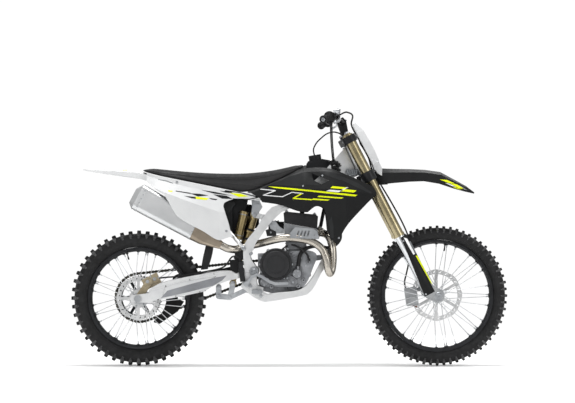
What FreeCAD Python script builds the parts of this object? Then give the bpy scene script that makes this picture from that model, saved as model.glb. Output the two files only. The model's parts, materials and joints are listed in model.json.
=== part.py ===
import FreeCAD, Part
import math
import os

# Motocross bike in millimetres: +X forward, +Y to the rider's left, +Z up.
# It is drawn with X = 0 at the rear axle and Z = 0 on the ground, and written
# with its origin at the point of the seat that carries the rider.

V = FreeCAD.Vector
ACROSS = V(0, 1, 0)
UP = V(0, 0, 1)

# Stance: the frame's length places the steering head, the fork and the front wheel
FRAME_BACK_X = 512.0
FRAME_LENGTH = 560.0
FORK_THROW = 420.0
WHEELBASE = FRAME_BACK_X + FRAME_LENGTH + FORK_THROW
REAR_RADIUS = 338.0
FRONT_RADIUS = 350.5
RAKE = 27.2
AXLE_LEAD = 37.0
CLAMP_OFFSET = 22.0
LEG_SPREAD = 105.0
RIDER_X = 504.0
RIDER_Z = 958.0
GAP = 0.3
OVERRUN = 20.0
HALF_WIDTH_OF_ALL = 450.0

# Wheels
REAR_TYRE_WIDTH = 105.0
REAR_RIM_RADIUS = 254.0
REAR_RIM_WIDTH = 60.0
REAR_RIM_DEPTH = 21.0
FRONT_TYRE_WIDTH = 86.0
FRONT_RIM_RADIUS = 280.0
FRONT_RIM_WIDTH = 48.0
FRONT_RIM_DEPTH = 20.0
RIM_WALL = 3.0
SPOKES_PER_SIDE = 18
SPOKE_RADIUS = 2.0
SPOKE_SIDES = 6
SPOKE_LEAN = 24.0
SPOKE_STAGGER = 4.5
REAR_HUB_RADIUS = 30.0
REAR_FLANGE_RADIUS = 47.0
REAR_FLANGE_Y = 34.0
FRONT_HUB_RADIUS = 22.0
FRONT_FLANGE_RADIUS = 36.0
FRONT_FLANGE_Y = 30.0
FLANGE_THICKNESS = 12.0
REAR_AXLE_RADIUS = 12.5
REAR_HUB_HALF_LENGTH = 72.0
FRONT_HUB_HALF_LENGTH = 76.0
REAR_SEAT_RADIUS = 44.0
FRONT_SEAT_RADIUS = 34.0
SEAT_DEPTH = 6.0
FRONT_AXLE_RADIUS = 13.0
FRONT_AXLE_BORE_RADIUS = 9.0

# Brakes
REAR_DISC_RADIUS = 110.0
FRONT_DISC_RADIUS = 130.0
DISC_BAND = 24.0
DISC_THICKNESS = 3.5
REAR_DISC_Y = -62.0
FRONT_DISC_Y = 62.0

# Final drive
CHAIN_PITCH = 15.875
CHAIN_HALF_HEIGHT = 7.5
CHAIN_HALF_WIDTH = 9.0
CHAIN_Y = 75.0
REAR_TEETH = 48
FRONT_TEETH = 13
FRONT_SPROCKET_X = 653.0
FRONT_SPROCKET_Z = 497.0
SPROCKET_THICKNESS = 6.0
CHAIN_ROOM = 4.0

# Frame's cross members
UPPER_CROSS_share = 0.1964286
UPPER_CROSS_X = FRAME_BACK_X + FRAME_LENGTH * UPPER_CROSS_share
UPPER_CROSS_Z = 742.0
LOWER_CROSS_X = 562.0
LOWER_CROSS_Z = 372.0

# Swingarm
PIVOT_X = 577.0
PIVOT_Z = 475.0
PIVOT_RADIUS = 12.0
ARM_BACK_X = 56.0
ARM_LOW_Z = 324.0
ARM_LENGTH = 521.0
ARM_HEIGHT = 155.0
ARM_PIVOT_Y = 69.0
ARM_AXLE_Y = 107.0
ARM_PIVOT_THICKNESS = 30.0
ARM_AXLE_THICKNESS = 26.0
ARM_BOSS_RADIUS = 26.0
ARM_BRIDGE_X = 430.0
ARM_BRIDGE_LENGTH = 70.0
AXLE_BLOCK_LENGTH = 130.0
AXLE_BLOCK_HEIGHT = 62.0

# Frame
FRAME_LOW_Z = 322.0
FRAME_HEIGHT = 780.0
SPAR_THICKNESS = 26.0
POST_Y = 104.0
HEAD_TUBE_RADIUS = 28.0
HEAD_TUBE_LOW = 716.0
HEAD_TUBE_HIGH = 872.0
DOWN_TUBE_RADIUS = 21.0
RAIL_THICKNESS = 26.0
SUBFRAME_TUBE_RADIUS = 11.0

# Fork, measured along the steering axis from the front axle
OUTER_TUBE_LOW = 352.0
OUTER_TUBE_HIGH = 918.0
OUTER_TUBE_RADIUS = 28.0
OUTER_TUBE_TOP_RADIUS = 27.0
INNER_TUBE_RADIUS = 24.0
INNER_TUBE_LOW = 48.0
LOWER_CLAMP_LOW = 662.0
LOWER_CLAMP_HIGH = 712.0
UPPER_CLAMP_LOW = 876.0
UPPER_CLAMP_HIGH = 912.0
CLAMP_WALL = 9.0
CLAMP_NOSE = 31.0
CLAMP_DIP = 10.0
CLAMP_SWING = 53.0
UPPER_CLAMP_REACH = 24.0
LOWER_CLAMP_REACH = 28.0
LUG_WIDTH = 42.0
BAR_LEAD = 30.0
BAR_HEIGHT = 985.0
BAR_RADIUS = 14.0
BAR_END_RADIUS = 11.0
BAR_REACH = 408.0
GRIP_RADIUS = 17.0
GRIP_LENGTH = 125.0

# Engine
CRANKCASE_HALF_WIDTH = 88.0
SUMP_HALF_WIDTH = 54.0
SUMP_HEIGHT = 34.0
CYLINDER_HALF_WIDTH = 62.0
CASE_BEHIND_PIVOT = 15.0
CASE_BACK_X = PIVOT_X + CASE_BEHIND_PIVOT
CASE_LENGTH_share = 0.5321429
CASE_LENGTH = FRAME_LENGTH * CASE_LENGTH_share
CLUTCH_share = 0.3154362
CLUTCH_X = CASE_BACK_X + CASE_LENGTH * CLUTCH_share
CLUTCH_Z = 509.0
CLUTCH_RADIUS = 80.0
CLUTCH_FACE_Y = -140.0

# Exhaust
PIPE_RADIUS = 19.0
SILENCER_Y = -116.0
SILENCER_WIDTH = 98.0
SILENCER_HEIGHT = 136.0

# Seat and bodywork
SEAT_BACK_X = 13.0
SEAT_FRONT_share = 0.5642857
SEAT_LENGTH = FRAME_BACK_X + FRAME_LENGTH * SEAT_FRONT_share - SEAT_BACK_X
SEAT_LOW_Z = 865.0
SEAT_HEIGHT = 147.0
SEAT_HALF_WIDTH = 84.0
SHELL = 4.0
SHROUD_BACK_share = 0.1
SHROUD_LENGTH_share = 1.0928571
SHROUD_BACK_X = FRAME_BACK_X + FRAME_LENGTH * SHROUD_BACK_share
SHROUD_LENGTH = FRAME_LENGTH * SHROUD_LENGTH_share
SHROUD_LOW_Z = 608.0
SHROUD_HEIGHT = 382.0
PANEL_SETBACK = 30.0
PANEL_LENGTH_share = 0.6858896
PANEL_BACK_X = SEAT_BACK_X + PANEL_SETBACK
PANEL_LENGTH = SEAT_LENGTH * PANEL_LENGTH_share
PANEL_LOW_Z = 628.0
PANEL_HEIGHT = 334.0

# Outlines, as shares of each piece's own length and height
SHROUD_OUTLINE_shares = [
    [(0.000, 0.660), (0.078, 0.726), (0.185, 0.800), (0.306, 0.889), (0.402, 0.978)],
    [(0.547, 1.000), (0.636, 0.982), (0.748, 0.916), (0.869, 0.832), (0.951, 0.767)],
    [(0.992, 0.707), (1.000, 0.639)],
    [(0.954, 0.573), (0.869, 0.432), (0.789, 0.291), (0.725, 0.136)],
    [(0.721, 0.058)],
    [(0.696, 0.000)],
    [(0.644, 0.052)],
    [(0.616, 0.149), (0.605, 0.291), (0.592, 0.406)],
    [(0.564, 0.484), (0.523, 0.497), (0.484, 0.463), (0.451, 0.419)],
    [(0.387, 0.427), (0.234, 0.510), (0.145, 0.537), (0.080, 0.550)],
    [(0.060, 0.599)],
]
SHROUD_SECTION_shares = [
    (-0.03, (0.84, 0.75), (0.88, 0.66), (0.94, 0.60), (0.92, 0.45)),
    (0.22, (0.74, 0.92), (0.92, 0.84), (1.12, 0.70), (1.04, 0.40)),
    (0.42, (0.62, 1.05), (0.98, 0.94), (1.36, 0.72), (1.24, 0.30)),
    (0.61, (0.78, 1.06), (1.18, 0.95), (1.62, 0.72), (1.54, -0.05)),
    (0.76, (1.32, 0.99), (1.50, 0.88), (1.84, 0.68), (1.74, -0.05)),
    (1.02, (1.72, 0.86), (1.78, 0.78), (1.90, 0.66), (1.78, -0.05)),
]
PANEL_OUTLINE_shares = [
    [(0.000, 0.997), (0.116, 0.951), (0.295, 0.891), (0.472, 0.831), (0.651, 0.771), (0.830, 0.712)],
    [(0.925, 0.705)],
    [(0.995, 0.635)],
    [(0.919, 0.599), (0.832, 0.620), (0.744, 0.599), (0.691, 0.554)],
    [(0.683, 0.509)],
    [(0.708, 0.374), (0.735, 0.228), (0.751, 0.123), (0.769, 0.057)],
    [(0.726, 0.042)],
    [(0.655, 0.000)],
    [(0.592, 0.042), (0.531, 0.111), (0.442, 0.192), (0.309, 0.317)],
    [(0.283, 0.347)],
    [(0.231, 0.479), (0.195, 0.584), (0.156, 0.686)],
    [(0.106, 0.731), (0.036, 0.826)],
    [(0.000, 0.886)],
]
RIGHT_PANEL_SECTION_shares = [
    (-0.03, (1.06, 1.10), (1.12, 0.98), (1.45, 0.85), (1.70, 0.66)),
    (0.15, (1.08, 1.04), (1.30, 0.88), (1.88, 0.72), (2.12, 0.52)),
    (0.40, (1.10, 0.95), (1.36, 0.78), (1.95, 0.56), (2.14, 0.20)),
    (0.65, (1.10, 0.85), (1.34, 0.70), (1.84, 0.42), (2.05, -0.05)),
    (0.80, (1.09, 0.80), (1.24, 0.62), (1.50, 0.40), (1.80, -0.05)),
    (1.03, (1.05, 0.78), (1.07, 0.66), (1.10, 0.55), (1.12, 0.30)),
]
LEFT_PANEL_SECTION_shares = [
    (-0.03, (1.06, 1.10), (1.10, 0.98), (1.18, 0.85), (1.24, 0.66)),
    (0.15, (1.08, 1.04), (1.20, 0.88), (1.40, 0.72), (1.50, 0.52)),
    (0.40, (1.10, 0.95), (1.26, 0.78), (1.48, 0.56), (1.60, 0.20)),
    (0.65, (1.10, 0.85), (1.26, 0.70), (1.46, 0.42), (1.60, -0.05)),
    (0.80, (1.09, 0.80), (1.20, 0.62), (1.36, 0.40), (1.52, -0.05)),
    (1.03, (1.05, 0.78), (1.07, 0.66), (1.10, 0.55), (1.12, 0.30)),
]
SEAT_SECTION_shares = [
    (0.000, 0.770, 0.776, 0.45),
    (0.030, 0.690, 0.826, 0.80),
    (0.118, 0.565, 0.782, 0.98),
    (0.239, 0.429, 0.714, 1.00),
    (0.362, 0.293, 0.660, 1.00),
    (0.483, 0.156, 0.633, 0.98),
    (0.606, 0.020, 0.633, 0.94),
    (0.679, 0.054, 0.653, 0.88),
    (0.788, 0.290, 0.721, 0.76),
    (0.880, 0.520, 0.823, 0.66),
    (0.972, 0.800, 0.952, 0.56),
    (1.000, 0.930, 0.986, 0.50),
]
SPAR_OUTLINE_shares = [
    [(0.925, 0.985), (0.845, 0.920), (0.693, 0.800), (0.514, 0.690), (0.275, 0.604)],
    [(0.186, 0.528), (0.125, 0.458), (0.045, 0.385), (0.021, 0.331)],
    [(0.023, 0.254), (0.036, 0.190)],
    [(0.139, 0.190)],
    [(0.138, 0.215), (0.105, 0.254), (0.107, 0.331)],
    [(0.134, 0.376), (0.186, 0.432), (0.293, 0.528), (0.359, 0.572)],
    [(0.550, 0.640), (0.746, 0.725), (0.889, 0.800), (1.020, 0.835)],
]
SPAR_PLAN_shares = [(-0.05, 1.00), (0.14, 1.00), (0.34, 0.86), (0.60, 0.64), (0.82, 0.40), (1.02, 0.22)]
RAIL_OUTLINE_shares = [
    [(0.036, 0.205), (0.018, 0.140), (0.000, 0.095)],
    [(0.045, 0.070), (0.089, 0.044), (0.159, 0.013), (0.213, 0.000)],
    [(0.311, 0.009)],
    [(0.523, 0.035)],
    [(0.586, 0.047)],
    [(0.630, 0.076), (0.700, 0.165), (0.745, 0.216)],
    [(0.775, 0.270)],
    [(0.735, 0.292)],
    [(0.691, 0.229), (0.639, 0.159), (0.586, 0.108)],
    [(0.550, 0.088), (0.434, 0.066), (0.240, 0.045)],
    [(0.170, 0.075), (0.139, 0.120)],
    [(0.139, 0.205)],
]
RAIL_PLAN_shares = [(-0.05, 0.99), (0.16, 0.96), (0.34, 0.84), (0.60, 0.64), (0.80, 0.42)]
ARM_OUTLINE_shares = [
    [(0.000, 0.000), (0.104, 0.052), (0.296, 0.161), (0.390, 0.226), (0.514, 0.316)],
    [(0.580, 0.432), (0.628, 0.516), (0.695, 0.594), (0.791, 0.710), (0.910, 0.748)],
    [(1.000, 0.820)],
    [(1.000, 1.140)],
    [(0.960, 1.140)],
    [(0.870, 0.990), (0.772, 0.981), (0.695, 0.981), (0.608, 0.948), (0.486, 0.865)],
    [(0.305, 0.755), (0.200, 0.671), (0.109, 0.581), (0.000, 0.374)],
]

# Engine outlines, as shares of the crankcase's length and height
CASE_LOW_Z = 363.0
CASE_HEIGHT = 217.0
CASE_OUTLINE_shares = [
    [(0.013, 0.908)],
    [(0.020, 0.309)],
    [(0.047, 0.147), (0.094, 0.069), (0.161, 0.032)],
    [(0.299, 0.000), (0.497, 0.009), (0.698, 0.069)],
    [(0.799, 0.194), (0.906, 0.493), (1.000, 0.793)],
    [(0.980, 0.899), (0.906, 0.963)],
    [(0.815, 0.990)],
    [(0.480, 0.963)],
]
BARREL_OUTLINE_shares = [(0.480, 0.966), (0.815, 0.993), (0.830, 1.240), (0.475, 1.250)]
HEAD_OUTLINE_shares = [
    (0.455, 1.242), (0.845, 1.232), (1.030, 1.310), (1.005, 1.480), (0.450, 1.610),
]
COVER_OUTLINE_shares = [
    (0.452, 1.613), (1.004, 1.483), (1.018, 1.770), (0.980, 1.810), (0.480, 1.880), (0.440, 1.850),
]

# Front bodywork, in shares of its own sizes
FENDER_SETBACK = 314.0
FENDER_BACK_X = WHEELBASE - FENDER_SETBACK
FENDER_LENGTH = 499.0
FENDER_LOW_Z = 861.0
FENDER_HEIGHT = 126.0
FENDER_HALF_WIDTH = 94.0
FENDER_SECTION_shares = [
    (0.000, 0.330, 0.800, 0.62),
    (0.076, 0.370, 1.000, 0.70),
    (0.186, 0.420, 0.985, 0.84),
    (0.357, 0.480, 0.975, 0.98),
    (0.508, 0.500, 0.945, 1.00),
    (0.660, 0.400, 0.860, 0.97),
    (0.810, 0.200, 0.540, 0.86),
    (0.920, 0.080, 0.300, 0.68),
    (1.000, 0.000, 0.060, 0.22),
]
PLATE_LOW = 700.0
PLATE_HEIGHT = 254.0
PLATE_HALF_WIDTH = 100.0
PLATE_SECTION_shares = [
    (0.00, 0.10, 0.28, 0.70),
    (0.12, 0.14, 0.48, 0.90),
    (0.32, 0.14, 0.52, 0.98),
    (0.56, 0.13, 0.52, 1.00),
    (0.80, 0.12, 0.48, 0.92),
    (1.00, 0.12, 0.30, 0.74),
]
TAIL_X = -280.0
TAIL_LENGTH = 380.0
TAIL_LOW_Z = 880.0
TAIL_HEIGHT = 104.0
TAIL_HALF_WIDTH = 86.0
TAIL_SECTION_shares = [
    (0.000, 0.940, 1.000, 0.30),
    (0.074, 0.885, 0.995, 0.52),
    (0.221, 0.800, 0.976, 0.70),
    (0.500, 0.654, 0.957, 0.90),
    (0.739, 0.538, 0.910, 0.97),
    (0.834, 0.433, 0.805, 0.97),
    (1.000, 0.240, 0.645, 0.96),
]


def placed(shares, x, z, length, height):
    """Each (x, z) share as a real point of the side view."""
    return [(x + length * a, z + height * b) for a, b in shares]


def closed_outline(stretches, y):
    """A closed wire in the side view: a stretch of one point is a straight edge, a longer one a curve."""
    edges = []
    here = stretches[0][0]
    first = here
    for number, stretch in enumerate(stretches):
        points = list(stretch) if number else list(stretch[1:])
        if not points:
            continue
        run = [V(x, y, z) for x, z in [here] + points]
        if len(run) == 2:
            edges.append(Part.LineSegment(run[0], run[1]).toShape())
        else:
            curve = Part.BSplineCurve()
            curve.interpolate(run)
            edges.append(curve.toShape())
        here = points[-1]
    start = V(here[0], y, here[1])
    end = V(first[0], y, first[1])
    if start.distanceToPoint(end) > GAP:
        edges.append(Part.LineSegment(start, end).toShape())
    return Part.Wire(edges)


def slab(stretches, low_y, high_y):
    """The side view's closed outline, thick from low_y to high_y."""
    return Part.Face(closed_outline(stretches, low_y)).extrude(V(0, high_y - low_y, 0))


def block(points, low_y, high_y):
    """A straight-edged side view, thick from low_y to high_y."""
    return slab([[points[0]]] + [[p] for p in points[1:]], low_y, high_y)


def plan_strip(points, thickness, low_z, high_z):
    """A curved wall seen from above: its centre line, its thickness and its height."""
    outer = Part.BSplineCurve()
    outer.interpolate([V(x, y + thickness / 2, low_z) for x, y in points])
    inner = Part.BSplineCurve()
    inner.interpolate([V(x, y - thickness / 2, low_z) for x, y in points])
    one = Part.LineSegment(outer.EndPoint, inner.EndPoint).toShape()
    two = Part.LineSegment(inner.StartPoint, outer.StartPoint).toShape()
    wire = Part.Wire(Part.__sortEdges__([outer.toShape(), one, inner.toShape(), two]))
    return Part.Face(wire).extrude(V(0, 0, high_z - low_z))


def disc(x, z, radius, low_y, high_y):
    """A round solid across the bike."""
    return Part.makeCylinder(radius, high_y - low_y, V(x, low_y, z), ACROSS)


def rod(start, end, radius):
    """A round bar between two points."""
    line = end.sub(start)
    return Part.makeCylinder(radius, line.Length, start, line)


def turned(profile, x, z):
    """A solid of revolution about an axle at (x, z): the profile holds (across, radius) points."""
    points = [V(x, y, z + r) for y, r in profile]
    face = Part.Face(Part.makePolygon(points + points[:1]))
    return face.revolve(V(x, 0, z), ACROSS, 360)


def mirrored(shape):
    """The same shape on the other side of the bike."""
    return shape.mirror(V(0, 0, 0), ACROSS)


def both_sides(shape):
    """A shape with its mirror image, as two solids."""
    return [shape, mirrored(shape)]


def joined(shapes):
    """One solid from shapes that overlap."""
    return shapes[0].fuse(shapes[1:]).removeSplitter()


def strap(points, width, low_y, high_y):
    """A flat bar that follows a line of points in the side view, with round ends."""
    pieces = [disc(x, z, width / 2, low_y, high_y) for x, z in points]
    for (x0, z0), (x1, z1) in zip(points, points[1:]):
        side = V(z0 - z1, 0, x1 - x0)
        side.Length = width / 2
        corners = [
            (x0 + side.x, z0 + side.z),
            (x1 + side.x, z1 + side.z),
            (x1 - side.x, z1 - side.z),
            (x0 - side.x, z0 - side.z),
        ]
        pieces.append(block(corners, low_y, high_y))
    return joined(pieces)


def rounded_route(points, bend_share):
    """Straight runs joined by tangent arcs, each arc as large as its runs allow."""
    runs = [b.sub(a) for a, b in zip(points, points[1:])]
    edges = []
    here = points[0]
    for corner, run, after in zip(points[1:-1], runs, runs[1:]):
        turn = run.getAngle(after)
        reach = bend_share * min(run.Length, after.Length)
        back = V(run)
        back.Length = reach
        onward = V(after)
        onward.Length = reach
        start = corner.sub(back)
        end = corner.add(onward)
        radius = reach / math.tan(turn / 2)
        inward = V(onward).sub(back)
        inward.Length = radius / math.cos(turn / 2) - radius
        middle = corner.add(inward)
        edges.append(Part.LineSegment(here, start).toShape())
        edges.append(Part.Arc(start, middle, end).toShape())
        here = end
    edges.append(Part.LineSegment(here, points[-1]).toShape())
    return Part.Wire(edges)


BEND_share = 0.45


def bent_tube(points, radius, bend_share):
    """A round tube along a rounded route."""
    route = rounded_route(points, bend_share)
    ring = Part.Wire(Part.Circle(points[0], points[1].sub(points[0]), radius).toShape())
    return route.makePipeShell([ring], True, True)


def stood(shape):
    """Puts a shape drawn in the fork's own axes (ahead, across, along the steering axis) on the bike."""
    copy = shape.copy()
    turn = FreeCAD.Rotation(ACROSS, -RAKE)
    copy.Placement = FreeCAD.Placement(V(WHEELBASE, 0, FRONT_RADIUS), turn).multiply(copy.Placement)
    return copy


def fork_point(ahead, y, along):
    """A point given in the fork's own axes."""
    lean = math.radians(RAKE)
    x = WHEELBASE + ahead * math.cos(lean) - along * math.sin(lean)
    z = FRONT_RADIUS + ahead * math.sin(lean) + along * math.cos(lean)
    return V(x, y, z)


LEG_AHEAD = -AXLE_LEAD
STEM_AHEAD = -AXLE_LEAD - CLAMP_OFFSET


# Wheels

TYRE_BEAD = 9.0
TREAD_DEPTH = 13.0


def tyre(x, z, radius, width, rim_radius, rim_width, rows):
    """A knobbly tyre: rows of centre blocks and rows of shoulder blocks take turns round the carcass."""
    bead = rim_width / 2 - RIM_WALL - GAP
    side = width / 2
    crown = radius - TREAD_DEPTH
    inner = (rim_radius - TYRE_BEAD) / math.cos(math.pi / rows)
    lip = (rim_radius + GAP) / math.cos(math.pi / rows)
    wall = [
        (-bead, inner), (bead, inner), (bead, lip),
        (side * TYRE_BULGE_share, rim_radius + TREAD_DEPTH * 1.5), (side * TYRE_EDGE_share, crown - TREAD_DEPTH * 0.8),
    ]
    edge = wall[-1]
    corner = (side * CROWN_share, crown)
    centre_foot = (side * CENTRE_FOOT_share, crown)
    centre_top = (side * CENTRE_TOP_share, radius)
    shoulder = (side, crown + TREAD_DEPTH * 0.1)
    shoulder_top = (side * SHOULDER_TOP_share, radius)
    shoulder_foot = (side * SHOULDER_FOOT_share, crown)
    centre_row = [edge, corner, centre_foot, centre_top]
    shoulder_row = [edge, shoulder, shoulder_top, shoulder_foot]
    step = 2 * math.pi / rows
    faces = []

    def spot(point, angle):
        across, reach = point
        return V(x + reach * math.sin(angle), across, z + reach * math.cos(angle))

    def other(point):
        return (-point[0], point[1])

    def chord(point, angle, middle):
        reach = point[1] * math.cos(step / 2) / math.cos(angle - middle)
        return spot((point[0], reach), angle)

    def face(points):
        faces.append(Part.Face(Part.makePolygon(points + points[:1])))

    def strips(section, first, last, middle):
        for a, b in zip(section, section[1:]):
            if a == edge or b == other(edge):
                ends = [chord(p, t, middle) if abs(p[0]) == edge[0] else spot(p, t) for p, t in (
                    (a, first), (b, first), (b, last), (a, last))]
                face(ends[:3])
                face([ends[0], ends[2], ends[3]])
            else:
                face([spot(a, first), spot(b, first), spot(b, last), spot(a, last)])

    for row in range(rows):
        first = step * row
        cut = first + step * KNOB_share
        last = first + step
        middle = first + step / 2
        here, after = (centre_row, shoulder_row) if row % 2 else (shoulder_row, centre_row)
        knob = here + [other(p) for p in reversed(here)]
        strips(knob, first, cut, middle)
        strips([edge, corner], cut, last, middle)
        strips([other(corner), other(edge)], cut, last, middle)
        floor = [corner] + [p for p in here[2:] if p[1] == crown] + [other(p) for p in reversed(here[2:]) if p[1] == crown]
        floor_after = [p for p in after[2:] if p[1] == crown]
        floor_after += [other(p) for p in reversed(after[2:]) if p[1] == crown]
        face(
            [spot(p, cut) for p in floor] + [spot(other(corner), cut), spot(other(corner), last)]
            + [spot(p, last) for p in reversed(floor_after)] + [spot(corner, last)]
        )
        for angle in (first, cut):
            if row % 2:
                ends = [centre_foot, centre_top]
                face([spot(p, angle) for p in ends + [other(p) for p in reversed(ends)]])
            else:
                for turn in (lambda p: p, other):
                    base = chord(turn(edge), angle, middle)
                    face([base] + [spot(turn(p), angle) for p in shoulder_row[1:] + [corner]])
        for a, b in zip(wall, wall[1:]):
            for turn in (lambda p: p, other):
                if a == other(b) and turn is other:
                    continue
                ends = [spot(turn(a), first), spot(turn(b), first)]
                if b == edge:
                    ends.append(chord(turn(b), cut, middle))
                face(ends + [spot(turn(b), last), spot(turn(a), last)])
    shell = Part.makeShell(faces)
    shell.sewShape()
    return Part.makeSolid(shell)


KNOB_share = 0.52
TYRE_BULGE_share = 0.88
TYRE_EDGE_share = 0.95
CROWN_share = 0.72
CENTRE_FOOT_share = 0.42
CENTRE_TOP_share = 0.36
SHOULDER_TOP_share = 0.52
SHOULDER_FOOT_share = 0.47
REAR_ROWS = 36
FRONT_ROWS = 48


def rim(x, z, radius, width, depth):
    """A rim: a channel open towards the tyre."""
    side = width / 2
    well = side * 0.42
    inner = radius - depth
    ledge = radius - TYRE_BEAD - RIM_WALL
    outside = [(side, radius), (side, ledge), (well, inner)]
    inside = [(side - RIM_WALL, radius), (side - RIM_WALL, ledge + RIM_WALL - GAP), (well - RIM_WALL, inner + RIM_WALL)]
    profile = outside + [(-y, r) for y, r in reversed(outside)] + [(-y, r) for y, r in inside]
    profile += list(reversed(inside))
    return turned(profile, x, z)


def spoke_set(x, z, flange_radius, flange_y, rim_inner):
    """Laced spokes: each flange sends its spokes forwards and backwards to the rim's middle."""
    start_radius = flange_radius + GAP + SPOKE_RADIUS / 2
    end_radius = rim_inner - GAP
    spokes = []
    for side in (1, -1):
        for number in range(SPOKES_PER_SIDE):
            way = 1 if number % 2 else -1
            angle = math.radians(360 / SPOKES_PER_SIDE * (number + side / 4))
            swing = angle + way * math.radians(SPOKE_LEAN)
            first = V(
                x + start_radius * math.sin(angle),
                side * (flange_y + way * SPOKE_STAGGER),
                z + start_radius * math.cos(angle),
            )
            last = V(
                x + end_radius * math.sin(swing),
                side * SPOKE_STAGGER * (2 + way) / 2,
                z + end_radius * math.cos(swing),
            )
            line = last.sub(first)
            ring = Part.makeCircle(SPOKE_RADIUS, first, line)
            corners = ring.discretize(SPOKE_SIDES + 1)
            spokes.append(Part.Face(Part.makePolygon(corners)).extrude(line))
    return Part.makeCompound(spokes)


def rear_hub():
    """The rear hub: spoke flanges, a seat for the disc on the right and one for the sprocket on the left."""
    bore = REAR_AXLE_RADIUS + GAP
    nose = REAR_HUB_RADIUS - GAP
    disc_seat = REAR_DISC_Y + DISC_THICKNESS / 2 + GAP
    sprocket_seat = CHAIN_Y - SPROCKET_THICKNESS / 2 - GAP
    half = FLANGE_THICKNESS / 2
    return turned([
        (-REAR_HUB_HALF_LENGTH, bore), (-REAR_HUB_HALF_LENGTH, nose),
        (disc_seat, nose), (disc_seat, REAR_SEAT_RADIUS), (disc_seat + SEAT_DEPTH, REAR_SEAT_RADIUS),
        (disc_seat + SEAT_DEPTH, REAR_HUB_RADIUS),
        (-REAR_FLANGE_Y - half, REAR_HUB_RADIUS), (-REAR_FLANGE_Y - half, REAR_FLANGE_RADIUS),
        (-REAR_FLANGE_Y + half, REAR_FLANGE_RADIUS), (-REAR_FLANGE_Y + half, REAR_HUB_RADIUS),
        (REAR_FLANGE_Y - half, REAR_HUB_RADIUS), (REAR_FLANGE_Y - half, REAR_FLANGE_RADIUS),
        (REAR_FLANGE_Y + half, REAR_FLANGE_RADIUS), (REAR_FLANGE_Y + half, REAR_HUB_RADIUS),
        (sprocket_seat - SEAT_DEPTH, REAR_HUB_RADIUS), (sprocket_seat - SEAT_DEPTH, REAR_SEAT_RADIUS),
        (sprocket_seat, REAR_SEAT_RADIUS), (sprocket_seat, nose),
        (CHAIN_Y + SPROCKET_THICKNESS / 2, nose), (CHAIN_Y + SPROCKET_THICKNESS / 2, bore),
    ], 0, REAR_RADIUS)


def front_hub():
    """The front hub: spoke flanges and a seat for the disc on the left."""
    bore = FRONT_AXLE_RADIUS + GAP
    nose = FRONT_HUB_RADIUS - GAP
    disc_seat = FRONT_DISC_Y - DISC_THICKNESS / 2 - GAP
    half = FLANGE_THICKNESS / 2
    return turned([
        (-FRONT_HUB_HALF_LENGTH, bore), (-FRONT_HUB_HALF_LENGTH, nose), (-FRONT_FLANGE_Y - half, FRONT_HUB_RADIUS),
        (-FRONT_FLANGE_Y - half, FRONT_FLANGE_RADIUS), (-FRONT_FLANGE_Y + half, FRONT_FLANGE_RADIUS),
        (-FRONT_FLANGE_Y + half, FRONT_HUB_RADIUS), (FRONT_FLANGE_Y - half, FRONT_HUB_RADIUS),
        (FRONT_FLANGE_Y - half, FRONT_FLANGE_RADIUS), (FRONT_FLANGE_Y + half, FRONT_FLANGE_RADIUS),
        (FRONT_FLANGE_Y + half, FRONT_HUB_RADIUS), (disc_seat - SEAT_DEPTH, FRONT_HUB_RADIUS),
        (disc_seat - SEAT_DEPTH, FRONT_SEAT_RADIUS), (disc_seat, FRONT_SEAT_RADIUS), (disc_seat, nose),
        (FRONT_HUB_HALF_LENGTH, nose), (FRONT_HUB_HALF_LENGTH, bore),
    ], WHEELBASE, FRONT_RADIUS)


WAVE_LOBES = 8
WAVE_DEPTH = 4.0
DISC_ARM_WIDTH = 14.0
REAR_DISC_ARMS = 4
FRONT_DISC_ARMS = 6


def wave_disc(x, z, radius, y, hub_radius, arms):
    """A brake disc with a waved edge, on arms that bolt to the hub."""
    points = []
    for number in range(WAVE_LOBES * 4):
        angle = 2 * math.pi * number / (WAVE_LOBES * 4)
        reach = radius - WAVE_DEPTH / 2 * (1 - math.cos(WAVE_LOBES * angle))
        points.append(V(x + reach * math.sin(angle), y - DISC_THICKNESS / 2, z + reach * math.cos(angle)))
    edge = Part.BSplineCurve()
    edge.interpolate(points, PeriodicFlag=True)
    plate = Part.Face(Part.Wire(edge.toShape())).extrude(V(0, DISC_THICKNESS, 0))
    low = y - DISC_THICKNESS / 2
    high = y + DISC_THICKNESS / 2
    band = plate.cut(disc(x, z, radius - DISC_BAND, low - OVERRUN, high + OVERRUN))
    carrier = disc(x, z, hub_radius + DISC_ARM_WIDTH, low, high)
    pieces = [band, carrier]
    for number in range(arms):
        angle = 2 * math.pi * number / arms
        tip = (x + (radius - DISC_BAND / 2) * math.sin(angle), z + (radius - DISC_BAND / 2) * math.cos(angle))
        pieces.append(strap([(x, z), tip], DISC_ARM_WIDTH, low, high))
    whole = joined(pieces)
    holes = [disc(x, z, hub_radius, low - OVERRUN, high + OVERRUN)]
    for number in range(DISC_SLOTS):
        angle = 2 * math.pi * (number + 0.5) / DISC_SLOTS
        swing = angle + math.radians(DISC_SLOT_LEAN)
        near = radius - DISC_BAND * 0.76
        far = radius - DISC_BAND * 0.36
        start = V(x + near * math.sin(angle), 0, z + near * math.cos(angle))
        finish = V(x + far * math.sin(swing), 0, z + far * math.cos(swing))
        across = finish.sub(start).cross(ACROSS)
        across.Length = DISC_SLOT_WIDTH / 2
        corners = [start.add(across), finish.add(across), finish.sub(across), start.sub(across)]
        holes.append(block([(p.x, p.z) for p in corners], low - OVERRUN, high + OVERRUN))
    return whole.cut(holes)


DISC_SLOTS = 24
DISC_SLOT_LEAN = 4.0
DISC_SLOT_WIDTH = 4.5


def pitch_radius(teeth):
    """The circle through the chain's rollers."""
    return CHAIN_PITCH / 2 / math.sin(math.pi / teeth)


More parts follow.
